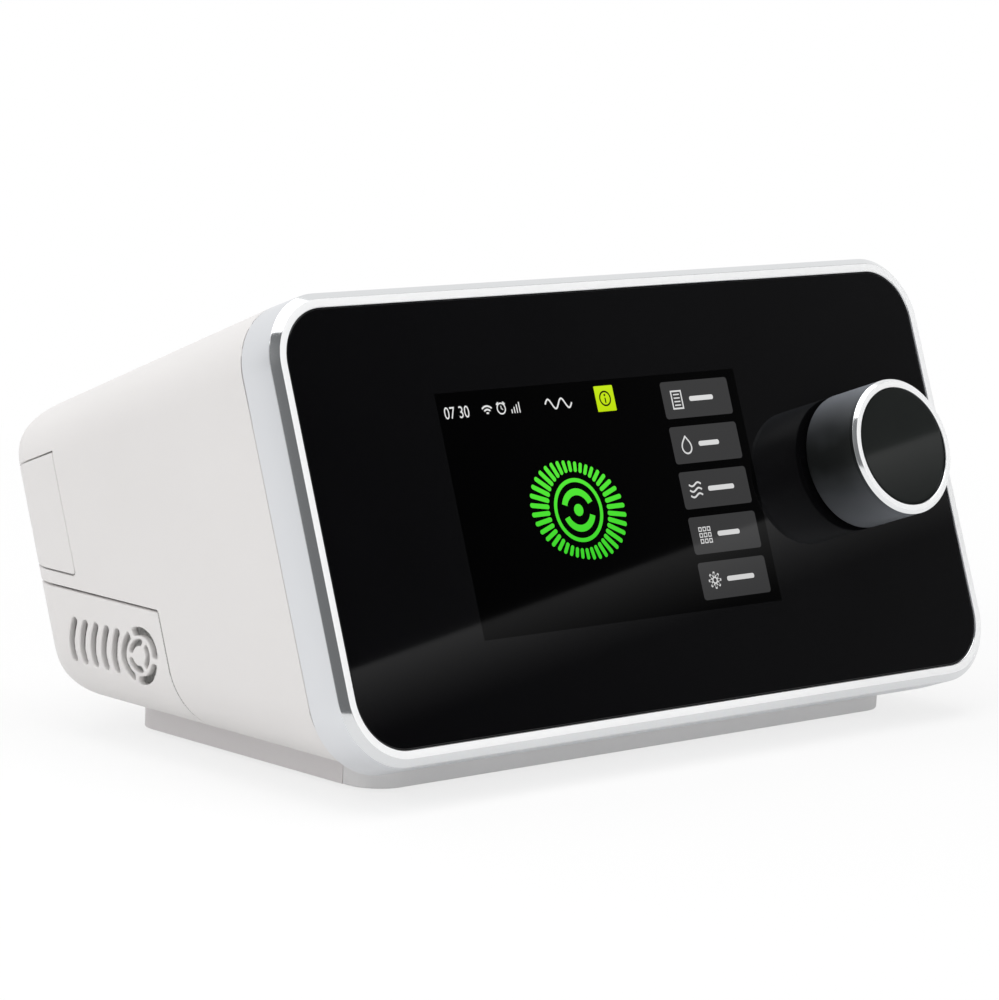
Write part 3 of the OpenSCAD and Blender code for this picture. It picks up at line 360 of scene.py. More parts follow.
@dataclass(frozen=True)
class CircuitBoard(Finish):
    """Green solder mask over a faint pattern of tracks."""

    mask: Colour = (0.010, 0.075, 0.035)
    track: Colour = (0.03, 0.16, 0.07)
    brick_mm: float = 2.5
    depth_mm: float = 0.03

    def draw(self, board: Board) -> None:
        """Draws the tracks as a brick pattern under the mask."""
        made = board.node("ShaderNodeTexBrick", {
            "Vector": board.scaled(self.brick_mm, tip=math.radians(-70)), "Scale": 1.0,
            "Mortar Size": 0.08}, offset=0.35, squash=1.6)
        brick = board.out(made, "Fac")
        board.finish({
            "Base Color": board.blend(brick, self.mask, self.track),
            "Roughness": brick * 0.1 + 0.3,
            "Normal": board.bump(brick, self.depth_mm),
        })


@dataclass(frozen=True)
class TurnedWithPaintedSheen(Finish):
    """A turned surface: fine rings about an axis as bump, and two bands of sheen painted into its
    colour.
    """

    dark: Colour
    light: Colour
    centre: Colour
    axis: Colour
    across: Colour
    radius: float
    rough: float = 0.36
    ring_mm: float = 0.32
    ring_depth_mm: float = 0.004
    upper_gain: float = 0.356
    strength: float = 0.85
    drift_mm: float = 9.0
    tone_swing: float = 0.10
    swing: float = 0.08

    def draw(self, board: Board) -> None:
        """Draws the rings as bump, and the sheen painted into the base colour.

        With s the sine of the turn about the axis, the painted sheen is the strength times s
        squared, times the mean of 1 and s squared, times 1 and the upper gain times s: lighter at
        the top and the bottom, most at the top, and dark across the middle.
        """
        centre = tuple(c * MM for c in self.centre)
        shift = board.out(board.node("ShaderNodeVectorMath", {0: board.place(), 1: centre},
                                     operation="SUBTRACT"))

        def along(way: Colour) -> Shade:
            """How far the place lies along a direction."""
            made = board.node("ShaderNodeVectorMath", {0: shift, 1: way}, operation="DOT_PRODUCT")
            return board.out(made, "Value")

        side = along(self.across) / (self.radius * MM)
        rings = (along(self.axis) * (2 * math.pi / (self.ring_mm * MM))).math("SINE") * 0.5 + 0.5
        drift = board.noise(self.drift_mm) - 0.5
        # painted sheen: the base colour is lighter towards the top and the bottom of the turn and
        # dark across the middle
        both = side * side
        sheen = both * (both * 0.5 + 0.5) * (side * self.upper_gain + 1.0) * self.strength
        shown = (sheen + drift * self.tone_swing).clamped()
        board.finish({
            "Base Color": board.blend(shown, self.dark, self.light),
            "Roughness": drift * self.swing + self.rough,
            "Normal": board.bump(rings, self.ring_depth_mm),
        })


CASING = Moulded("casing_white", (0.715, 0.697, 0.688), (0.745, 0.728, 0.72), 0.38, 0.30, 0.0035)
# painted shade: a darker grey for the cover's wall inside its seam, where the narrow gap holds
# shade
SEAM_SHADE = Moulded("seam_painted_shade", (0.34, 0.33, 0.325), (0.36, 0.35, 0.345), 0.45, 0.30, 0.0035)
STRIP = Metal("strip_grey", (0.87, 0.866, 0.87), (0.90, 0.896, 0.90), 0.46, 0.2, 0.0015,
              metallic=0.15)
# painted light: the base shell is the casing's plastic, made a lighter white to lift it out of the
# shade under the casing
BASE_PAINTED_LIGHT = Moulded("base_white_painted_light", (0.87, 0.843, 0.846), (0.90, 0.873, 0.876), 0.42, 0.30, 0.0035)
SATIN = Metal("frame_satin", (0.70, 0.715, 0.74), (0.74, 0.75, 0.77), 0.34, 0.12, 0.0012)
POLISHED = Metal("frame_polished", (0.69, 0.70, 0.71), (0.73, 0.74, 0.75), 0.10, 0.4, 0.0002)
RIM = Metal("frame_rim", (0.93, 0.935, 0.94), (0.95, 0.955, 0.96), 0.30, 0.2, 0.0006, metallic=0.0)
GLASS = BlackGlass("front_glass", (0.0027, 0.0027, 0.0031))
PANEL = BlackGlass("screen_panel", (0.0003, 0.0003, 0.0004), ior=1.36)
BRIGHT = Metal("knob_bright", (0.80, 0.81, 0.82), (0.84, 0.85, 0.86), 0.13, 0.2, 0.0003)
CAP = BlackGlass("knob_black", (0.0108, 0.0122, 0.0117), 0.03)
STEEL = Metal("steel", (0.55, 0.55, 0.56), (0.62, 0.62, 0.63), 0.28, 0.2, 0.002)
BLACK = Moulded("black_plastic", (0.018, 0.018, 0.02), (0.025, 0.025, 0.028), 0.45, 0.3, 0.008)
DARK = Moulded("dark_plastic", (0.045, 0.046, 0.05), (0.055, 0.056, 0.06), 0.5, 0.3, 0.008)
INNER = Moulded("inner_plastic", (0.60, 0.60, 0.58), (0.64, 0.64, 0.62), 0.4, 0.4, 0.008)
WHITE_PART = Moulded("outlet_plastic", (0.72, 0.72, 0.71), (0.75, 0.75, 0.74), 0.3, 0.3, 0.004)
RUBBER = Moulded("rubber", (0.030, 0.030, 0.032), (0.040, 0.040, 0.042), 0.75, 0.25, 0.012, 0.3)
SILICONE = Moulded("silicone", (0.42, 0.12, 0.08), (0.48, 0.15, 0.10), 0.6, 0.5, 0.01)
TAPE = Moulded("adhesive_tape", (0.02, 0.02, 0.02), (0.03, 0.03, 0.03), 0.8, 0.6, 0.01)
FILM = Moulded("cable_film", (0.45, 0.22, 0.05), (0.52, 0.27, 0.07), 0.25, 2.0, 0.002)
COPPER = Metal("copper_winding", (0.62, 0.29, 0.15), (0.70, 0.36, 0.20), 0.32, 0.3, 0.03,
               stretch=(6.0, 6.0, 0.8))
PLATE = Metal("plate_foil", (0.68, 0.68, 0.69), (0.72, 0.72, 0.73), 0.42, 0.2, 0.002)
FLEECE = Foam("filter_fleece", (0.80, 0.80, 0.79), (0.52, 0.52, 0.51), 0.7)
FOAM = Foam("silencer_foam", (0.10, 0.10, 0.11), (0.025, 0.025, 0.028), 1.4)
BOARD_GREEN = CircuitBoard("board_green")
BRASS = Metal("brass", (0.70, 0.55, 0.28), (0.75, 0.60, 0.33), 0.3, 0.3, 0.002)


# Frame and meshes


@dataclass(frozen=True)
class LeaningFrame:
    """The casing's own frame: x across, d back square to the glass, b up the glass, in mm."""

    lean: float = math.radians(20.4)
    glass_y: float = -73.3905
    face_z: float = 14.5

    @property
    def front(self) -> Colour:
        """The direction square to the glass, out of the machine."""
        return 0.0, -math.cos(self.lean), math.sin(self.lean)

    def point(self, x: Array, d: Array, b: Array) -> Array:
        """Points of this frame in the machine's frame, in metres.

        Args:
            x: places across.
            d: places behind the glass.
            b: places up the glass.

        Returns:
            An array whose last axis holds x, y and z.
        """
        x, d, b = np.broadcast_arrays(*(np.asarray(v, float) for v in (x, d, b)))
        c, s = math.cos(self.lean), math.sin(self.lean)
        return np.stack([x, self.glass_y + d * c + b * s, self.face_z + b * c - d * s], -1) * MM

    def up_at(self, z: float, d: Array) -> Array:
        """The place up the glass of a level height z at depth d."""
        return (z - self.face_z + np.asarray(d, float) * math.sin(self.lean)) / math.cos(self.lean)


LEAN = LeaningFrame()


def full_turn(steps: int) -> Array:
    """The angles of even steps round a circle."""
    return np.linspace(0, 2 * math.pi, steps, endpoint=False)


def unit(t: Array) -> Array:
    """The points at angles t on a circle of radius 1."""
    return np.stack([np.cos(t), np.sin(t)], -1)


def linked(name: str, data: bpy.types.ID) -> bpy.types.Object:
    """A new object of this data, linked into the scene."""
    made = bpy.data.objects.new(name, data)
    bpy.context.scene.collection.objects.link(made)
    return made


def vectors(items: bpy.types.bpy_prop_collection, key: str) -> Array:
    """One vector property of every item, as one row each."""
    flat = np.zeros(len(items) * 3, np.float32)
    items.foreach_get(key, flat)
    return flat.reshape(-1, 3).astype(float)


def place_mesh(name: str, points: Array, faces: Sequence[Sequence[int]],
               closed: bool = True) -> bpy.types.Object:
    """Makes a mesh object at the origin.

    Args:
        name: the object's name.
        points: its corners in metres.
        faces: its faces, as lists of corner numbers.
        closed: whether it is a closed shell, whose faces are turned outwards.

    Returns:
        The object, linked into the scene.
    """
    mesh = bpy.data.meshes.new(name)
    corners = np.asarray(points, float).reshape(-1, 3).tolist()
    mesh.from_pydata(corners, [], [list(map(int, face)) for face in faces])
    made = linked(name, mesh)
    if closed:
        work = bmesh.new()
        work.from_mesh(mesh)
        bmesh.ops.remove_doubles(work, verts=work.verts, dist=1e-7)
        bmesh.ops.recalc_face_normals(work, faces=work.faces)
        work.to_mesh(mesh)
        work.free()
    return made


def grid_faces(rows: int, cols: int, wrap_rows: bool = False, wrap_cols: bool = True) -> Array:
    """Quads of a grid of points that are numbered row by row.

    Args:
        rows: number of rows.
        cols: number of points in a row.
        wrap_rows: whether the last row joins the first.
        wrap_cols: whether a row's last point joins its first.

    Returns:
        One row of four corner numbers per quad.
    """
    i = np.arange(rows if wrap_rows else rows - 1)[:, None]
    j = np.arange(cols if wrap_cols else cols - 1)[None, :]
    i2, j2 = (i + 1) % rows, (j + 1) % cols
    return np.stack([i * cols + j, i * cols + j2, i2 * cols + j2, i2 * cols + j], -1).reshape(-1, 4)


def capped_faces(rows: int, count: int) -> list[list[int]]:
    """Quads of a tube of rows of points, and one face over each end."""
    first, last = list(range(count)), list(range((rows - 1) * count, rows * count))
    return [*grid_faces(rows, count).tolist(), first[::-1], last]


def round_line(corners: Array, arc_steps: int, side_steps: int) -> Array:
    """A middle line round four corners: each one as often as its turn has steps, then its side."""
    f = np.linspace(0, 1, side_steps + 1)[1:-1, None]
    return np.concatenate([part for here, after in zip(corners, np.roll(corners, -1, 0)) for part in
                           (np.repeat(here[None], arc_steps + 1, 0), here + (after - here) * f)])


def round_angles(arc_steps: int, side_steps: int) -> Array:
    """The outward angles along such a line: each quarter turn's, then its side's constant one."""
    turn = np.linspace(0, math.pi / 2, arc_steps + 1)
    held = np.pad(turn, (0, side_steps - 1), "edge")
    return np.concatenate([held + k * math.pi / 2 for k in range(4)])


def smooth(made: bpy.types.Object, angle: float, weighted: bool = False) -> bpy.types.Object:
    """Shades a piece smooth, with edges over an angle kept sharp."""
    made.data.shade_smooth()
    made.data.set_sharp_from_angle(angle=math.radians(angle))
    if weighted:
        extra = made.modifiers.new("even_normals", "WEIGHTED_NORMAL")
        extra.keep_sharp = True
        extra.weight = 100
    return made


def dress(made: bpy.types.Object, finish: Finish, body: Body,
          replaces: Iterable[str] = ()) -> bpy.types.Object:
    """Gives a piece its finish and body, and hides the nodes that it stands for."""
    made.data.materials.clear()
    made.data.materials.append(finish.material())
    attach(made, body.value)
    if replaces:
        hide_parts(*replaces)
    log.info("%s: %d faces", made.name, len(made.data.polygons))
    return made


def revolve(name: str, profile: Sequence[tuple[float, float]],
            axis: Callable[[Array, Array, Array], Array], turns: int,
            loop: bool = False) -> bpy.types.Object:
    """Turns a profile of radius and height about an axis.

    Each point lies at (r cos t, r sin t, h) for t from 0 to a full turn.

    Args:
        name: the object's name.
        profile: radii and heights in mm, which start and end on the axis unless loop is set.
        axis: places the turned points.
        turns: points round the axis.
        loop: whether the profile is closed on itself.

    Returns:
        The closed shell.
    """
    r, h = np.array(profile, float).T
    x, b = (np.outer(r, way) for way in unit(full_turn(turns)).T)
    points = axis(x, b, np.repeat(h[:, None], turns, 1))
    return place_mesh(name, points, grid_faces(len(r), turns, wrap_rows=loop))


def rounded(profile: Sequence[tuple[float, float, float]],
            steps: int = 4) -> list[tuple[float, float]]:
    """Rounds the corners of a closed profile.

    Each corner with a radius becomes an arc that touches both of its sides.

    Args:
        profile: corners as across, height and radius.
        steps: segments of each arc.

    Returns:
        The points of the rounded profile.
    """
    pts = np.array([p[:2] for p in profile], float)
    result: list[tuple[float, float]] = []
    for k, (_, _, radius) in enumerate(profile):
        p, a, b = pts[k], pts[k - 1], pts[(k + 1) % len(pts)]
        if radius <= 0:
            result.append(tuple(p))
            continue
        u, v = (a - p) / np.linalg.norm(a - p), (b - p) / np.linalg.norm(b - p)
        half = math.acos(float(np.clip(u @ v, -1, 1))) / 2
        centre = p + (u + v) / np.linalg.norm(u + v) * radius / math.sin(half)
        start, end = (p + way * radius / math.tan(half) - centre for way in (u, v))
        sweep = math.pi - 2 * half
        for f in np.linspace(0, 1, steps + 1):
            w = (math.sin((1 - f) * sweep) * start + math.sin(f * sweep) * end) / math.sin(sweep)
            result.append(tuple(centre + w))
    return result


@dataclass(frozen=True)
class Outline:
    """A rounded rectangle as a middle line plus a radius along its outward direction.

    The point at step u is middle(u) + (radius - inset) * outward(u).
    """

    width: float = 220.0
    height: float = 112.5
    radius: float = 17.0
    middle_b: float = 52.25
    arc_steps: int = 20
    side_steps: int = 24

    def ring(self, inset: float) -> Array:
        """The outline made smaller by inset, as x and b, counter-clockwise from the right side."""
        x, b = self.width / 2 - self.radius, self.height / 2 - self.radius
        corners = np.array([(x, b), (-x, b), (-x, -b), (x, -b)])
        outward = unit(round_angles(self.arc_steps, self.side_steps))
        middle = round_line(corners, self.arc_steps, self.side_steps) + [0.0, self.middle_b]
        return middle + (self.radius - inset) * outward


PANE = Outline(212.0, 104.5, 13.0, side_steps=12)


def carried_along(profile: Sequence[tuple[float, float]], outline: Outline) -> Array:
    """Carries a profile of inset and depth along an outline: one row for each profile point."""
    rings = np.stack([outline.ring(inset) for inset, _ in profile])
    depth = np.array([d for _, d in profile])[:, None]
    return LEAN.point(rings[..., 0], depth, rings[..., 1])


def facing_out(made: bpy.types.Object) -> Array:
    """How squarely each face of a piece looks out of the front, as the cosine of its angle."""
    return vectors(made.data.polygons, "normal") @ LEAN.front


def face_depths(made: bpy.types.Object) -> Array:
    """How deep behind the glass each face's middle lies, in mm: its y and z turned by the lean."""
    _, y, z = vectors(made.data.polygons, "center").T / MM
    return (y - LEAN.glass_y) * math.cos(LEAN.lean) - (z - LEAN.face_z) * math.sin(LEAN.lean)


def paint_faces(made: bpy.types.Object, kinds: Array, *more: Finish) -> None:
    """Gives a piece more finishes, and each face the finish of its number."""
    for finish in more:
        made.data.materials.append(finish.material())
    made.data.polygons.foreach_set("material_index", kinds.astype(np.int32))


def merged_copy(name: str, node: str) -> bpy.types.Object:
    """A copy of a CAD node whose loose triangles are joined."""
    made = linked(name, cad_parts[node].data.copy())
    work = bmesh.new()
    work.from_mesh(made.data)
    bmesh.ops.remove_doubles(work, verts=work.verts, dist=2e-6)
    bmesh.ops.dissolve_degenerate(work, edges=work.edges, dist=1e-7)
    work.to_mesh(made.data)
    work.free()
    return made


def applied(made: bpy.types.Object) -> bpy.types.Object:
    """Bakes a piece's modifiers into its mesh."""
    bpy.context.view_layer.update()
    graph = bpy.context.evaluated_depsgraph_get()
    mesh = bpy.data.meshes.new_from_object(made.evaluated_get(graph))
    made.modifiers.clear()
    made.data = mesh
    return made


def kept_inside(made: bpy.types.Object, form: bpy.types.Object) -> bpy.types.Object:
    """Cuts a piece down to what lies inside a form."""
    cut = made.modifiers.new("cut", "BOOLEAN")
    cut.operation, cut.object, cut.solver = "INTERSECT", form, "EXACT"
    return applied(made)


def keep_normals(made: bpy.types.Object) -> None:
    """Gives the corners that kept a form's normal that normal, and the others their own."""
    mesh = made.data
    own = vectors(mesh.corner_normals, "vector")
    kept = vectors(mesh.attributes[SKIN].data, "vector")
    length = np.linalg.norm(kept, axis=1, keepdims=True)
    chosen = np.where(length > 0.5, kept / np.maximum(length, 1e-6), own)
    mesh.attributes.remove(mesh.attributes[SKIN])
    mesh.normals_split_custom_set(chosen.tolist())


# Casing


@dataclass
class Casing:
    """The tub-shaped casing and its two covers, with one smooth outer form."""

    front: float = 5.0
    depth: float = 111.0
    top: float = 108.5
    top_fall: float = 3.0
    frame_depth: float = 12.0
    under_z: float = 8.5
    half: float = 110.0
    top_radius: float = 17.0
    low_radius: tuple[float, float] = (15.0, 16.0)
    side_back: float = 12.0
    top_back: float = 13.5
    low_back: float = 10.0
    corner_ease: tuple[float, float] = (0.32, 0.22)
    skin: float = 0.03
    arc_steps: int = 18
    side_steps: int = 26
    depth_steps: int = 26
    fillet_steps: int = 14
    cover_cell: float = 0.27
    cover_passes: int = 8
    seam_depth: float = 61.2
    seam_facing: float = 0.75
    door_cell: float = 0.22
    door_passes: int = 4
    form: Optional[bpy.types.Object] = field(default=None, repr=False)

    def section(self, d: Array, inset: Array) -> Array:
        """Sections of the casing.

        A section is a middle line plus its corner radii along the outward direction. Its top falls
        and its bottom stays level as the depth grows, and the radii shrink by the inset.

        Args:
            d: depth of each point, one row per section.
            inset: how far each point lies inside the full section.

        Returns:
            Points in metres, one row per section.
        """
        out = unit(self.angles())
        right, high = self.marks()
        low_x, low_b = self.low_radius
        radius_x = self.top_radius * high + low_x * (1 - high)
        radius_b = self.top_radius * high + low_b * (1 - high)
        top = self.top - self.top_fall * (d - self.frame_depth) / (self.depth - self.frame_depth)
        low = LEAN.up_at(self.under_z, d)
        mid_x = (2 * right - 1) * (self.half - radius_x)
        mid_b = (top - self.top_radius) * high + (low + low_b) * (1 - high)
        x = mid_x + (radius_x - inset) * out[:, 0]
        b = mid_b + (radius_b - inset) * out[:, 1]
        return LEAN.point(x, d, b)

    def angles(self) -> Array:
        """The outward angles round a section."""
        return round_angles(self.arc_steps, self.side_steps)

    def marks(self) -> tuple[Array, Array]:
        """How far right (0 to 1) and how high (0 to 1) the middle line's points lie."""
        corners = np.array([(1, 1), (0, 1), (0, 0), (1, 0)], float)
        right, high = round_line(corners, self.arc_steps, self.side_steps).T
        return right, high

    def make_form(self) -> bpy.types.Object:
        """The smooth outer form: straight sections, then a quarter turn in to the flat back."""
        t = self.angles()
        up = np.sin(t)
        back = self.side_back + (self.top_back - self.side_back) * np.clip(up, 0, 1) ** 2 \
            + (self.low_back - self.side_back) * np.clip(-up, 0, 1) ** 2
        # the corners turn in a little less, so that the wall behind them stays whole
        back = back * (1 - np.where(up > 0, *self.corner_ease) * np.sin(2 * t) ** 2)
        f = np.linspace(0, 1, self.depth_steps)[:, None]
        straight = self.front + (self.depth - self.skin - back - self.front)[None] * f
        turn = np.linspace(0, math.pi / 2, self.fillet_steps + 1)[1:, None]
        fillet = self.depth - self.skin - back[None] * (1 - np.sin(turn))
        d = np.concatenate([straight, fillet])
        inset = np.concatenate([np.zeros_like(straight), back[None] * (1 - np.cos(turn))])
        rows = self.section(d, inset + self.skin)
        return place_mesh("casing_form", rows, capped_faces(*rows.shape[:2]))

    def mark_form(self) -> None:
        """Keeps the form's own smooth normals on its corners, so that they outlast the cuts."""
        mesh = self.form.data
        mesh.shade_smooth()
        mesh.set_sharp_from_angle(angle=math.radians(40))
        normals = vectors(mesh.corner_normals, "vector").ravel()
        mesh.attributes.new(SKIN, "FLOAT_VECTOR", "CORNER").data.foreach_set("vector", normals)

    def skinned(self, node: str, body: Body, voxel: float = 0.0,
                passes: int = 0) -> bpy.types.Object:
        """One CAD piece of the casing, cut down to the smooth form.

        Args:
            node: the CAD piece.
            body: the body that it rides on.
            voxel: cell size in mm with which it is rebuilt to round its edges, or 0.
            passes: smoothing passes after that.

        Returns:
            The piece, dressed.
        """
        made = merged_copy(f"{node}_skin", node)
        made.data.attributes.new(SKIN, "FLOAT_VECTOR", "CORNER")
        made = kept_inside(made, self.form)
        if voxel > 0:
            cells = made.modifiers.new("cells", "REMESH")
            cells.mode, cells.voxel_size = "VOXEL", voxel * MM
            relax = made.modifiers.new("relax", "SMOOTH")
            relax.factor, relax.iterations = 0.5, passes
            applied(made).data.shade_smooth()
        else:
            smooth(made, 30)
            keep_normals(made)
        return dress(made, CASING, body, [node])

    def paint_seam_shade(self, made: bpy.types.Object) -> None:
        """Paints shade on the cover's wall that looks forwards into its seam, as a darker grey."""
        forwards = facing_out(made) > self.seam_facing
        paint_faces(made, forwards & (face_depths(made) < self.seam_depth), SEAM_SHADE)

    def build(self) -> None:
        """Builds the casing and its covers."""
        self.form = self.make_form()
        self.mark_form()
        self.skinned("rear_housing", Body.MACHINE)
        cover = self.skinned("filter_cover", Body.FILTER_COVER, self.cover_cell, self.cover_passes)
        # painted shade on the cover's wall inside its seam
        self.paint_seam_shade(cover)
        self.skinned("port_door", Body.PORT_DOOR, self.door_cell, self.door_passes)
        bpy.data.objects.remove(self.form)


# Front


@dataclass
class FrontFrame:
    """The metal frame: a satin band, a polished bevel and a bright rim around the glass."""

    outline: Outline = Outline()
    depth: float = 12.0
    proud: float = 0.3
    edge: float = 1.8
    rim: float = 4.0
    gap: float = 0.1
    glass_back: float = 2.4
    ledge: float = 2.0
    ledge_in: float = 3.0
    wall: float = 2.0
    bevel_facing: float = 0.30
    bevel_depth: float = 2.5
    front_facing: float = 0.90
    front_depth: float = 0.5

    def build(self) -> None:
        """Sweeps the frame as one ring. Its faces take the finish of the strip they are in."""
        inner, ledge = self.rim - self.gap, self.rim + self.ledge_in
        back, ledge_back = self.glass_back, self.glass_back + self.ledge
        profile = rounded([
            (0.0, self.depth, 0.25), (0.0, self.edge - self.proud, 0.5),
            (self.edge, -self.proud, 0.25), (inner, -self.proud, 0.35),
            (inner, back, 0), (ledge, back, 0), (ledge, ledge_back, 0),
            (self.wall, ledge_back, 0), (self.wall, self.depth, 0.2)], 4)
        points = carried_along(profile, self.outline)
        made = place_mesh("frame_ring", points, grid_faces(*points.shape[:2], wrap_rows=True))
        dress(smooth(made, 24), SATIN, Body.MACHINE, ["bezel_frame"])
        # the strip that a face belongs to comes from its direction against the glass and its depth
        facing, depth = facing_out(made), face_depths(made)
        bevel = (facing > self.bevel_facing) & (depth < self.bevel_depth)
        front = (facing > self.front_facing) & (depth < self.front_depth)
        paint_faces(made, np.where(front, 2, bevel), POLISHED, RIM)


@dataclass
class FrontGlass:
    """The black glass pane with a fine rounded edge."""

    outline: Outline = PANE
    thick: float = 2.0
    edge: float = 0.35
    steps: int = 5

    def build(self) -> None:
        """Sweeps the pane's edge as a quarter circle and closes it with two flat faces."""
        turn = np.linspace(math.pi / 2, 0, self.steps)
        profile = (self.edge * (1 - unit(turn))).tolist()
        points = carried_along([*profile, (0.0, self.thick)], self.outline)
        made = place_mesh("glass_pane", points, capped_faces(*points.shape[:2]))
        dress(smooth(made, 30, weighted=True), GLASS, Body.MACHINE, ["front_glass"])


class Art:
    """Collects flat marks on the glass, as polygons in x and b."""

    def __init__(self) -> None:
        """Starts empty."""
        self.points: list[Array] = []
        self.faces: list[list[int]] = []
        self.count = 0

    def add(self, points: Array, faces: Iterable[Sequence[int]]) -> None:
        """Adds points and the faces that use them."""
        self.points.append(np.asarray(points, float))
        self.faces += [[int(i) + self.count for i in f] for f in faces]
        self.count += len(points)

    def polygon(self, points: Array) -> None:
        """Adds one filled outline."""
        self.add(points, [range(len(points))])

    def box(self, x: float, b: float, w: float, h: float, r: float = 0.3) -> None:
        """Adds a rounded box around x and b."""
        way = unit(full_turn(32) + math.pi / 32)
        r = min(r, w / 2 - 1e-3, h / 2 - 1e-3)
        self.polygon([x, b] + np.sign(way) * [w / 2 - r, h / 2 - r] + r * way)

    def disc(self, x: float, b: float, r: float, n: int = 28) -> None:
        """Adds a disc."""
        self.polygon([x, b] + r * unit(full_turn(n)))

    def band(self, inner: Array, outer: Array, closed: bool = False) -> None:
        """Adds the strip between two lines of points."""
        n = len(inner)
        i = np.arange(n if closed else n - 1)
        j = (i + 1) % n
        self.add(np.concatenate([inner, outer]), np.stack([i, j, j + n, i + n], 1))

    def arc(self, x: float, b: float, r: float, w: float, a0: float = 0, a1: float = 360,
            n: int = 40) -> None:
        """Adds a ring or part of one, w wide, between two angles in degrees."""
        closed = abs(a1 - a0) >= 360
        way = unit(np.radians(np.linspace(a0, a1, n, endpoint=not closed)))
        mid = np.array([x, b])
        self.band(mid + (r - w / 2) * way, mid + (r + w / 2) * way, closed)

    def line(self, points: Sequence[tuple[float, float]], w: float, closed: bool = False) -> None:
        """Adds a line w wide through points, whose corners are mitred."""
        p = np.array(points, float)
        before = np.roll(p, 1, 0) if closed else np.concatenate([2 * p[:1] - p[1:2], p[:-1]])
        after = np.roll(p, -1, 0) if closed else np.concatenate([p[1:], 2 * p[-1:] - p[-2:-1]])
        u = (p - before) / np.linalg.norm(p - before, axis=1, keepdims=True)
        v = (after - p) / np.linalg.norm(after - p, axis=1, keepdims=True)
        n = np.stack([-(u + v)[:, 1], (u + v)[:, 0]], 1)
        n /= np.linalg.norm(n, axis=1, keepdims=True)
        side = np.stack([-u[:, 1], u[:, 0]], 1)
        n /= np.maximum((n * side).sum(1, keepdims=True), 0.5)
        self.band(p - n * w / 2, p + n * w / 2, closed)

    def build(self, name: str, height: float, finish: Finish) -> None:
        """Makes the marks one flat piece at a height above the glass, facing out."""
        flat = np.concatenate(self.points)
        faces = []
        for f in self.faces:
            p = flat[f]
            q = np.roll(p, -1, 0)
            turn = float((p[:, 0] * q[:, 1] - q[:, 0] * p[:, 1]).sum())
            faces.append(f if turn > 0 else f[::-1])
        made = place_mesh(name, LEAN.point(flat[:, 0], -height, flat[:, 1]), faces, closed=False)
        dress(made, finish, Body.MACHINE)


def lit(name: str, low: Colour, high: Colour, low_b: float, high_b: float) -> Lit:
    """A lit finish whose colour runs from one place up the glass to another."""
    low_z, high_z = LEAN.point(0, 0, (low_b, high_b))[:, 2] / MM
    return Lit(name, low, high, low_z, high_z)


def digits(art: Art, text: str, x: float, b: float, height: float) -> None:
    """Adds plain numerals to an art layer, from Blender's own font, height mm tall, from x on."""
    curve = bpy.data.curves.new("numerals", "FONT")
    curve.body = text
    holder = bpy.data.objects.new("numerals", curve)
    mesh = bpy.data.meshes.new_from_object(holder)
    flat = vectors(mesh.vertices, "co")[:, :2]
    scale = height / np.ptp(flat[:, 1])
    flat = (flat - flat.min(0)) * [scale * 0.86, scale] + [x, b]
    art.add(flat, [list(p.vertices) for p in mesh.polygons])
    bpy.data.objects.remove(holder)
    bpy.data.curves.remove(curve)


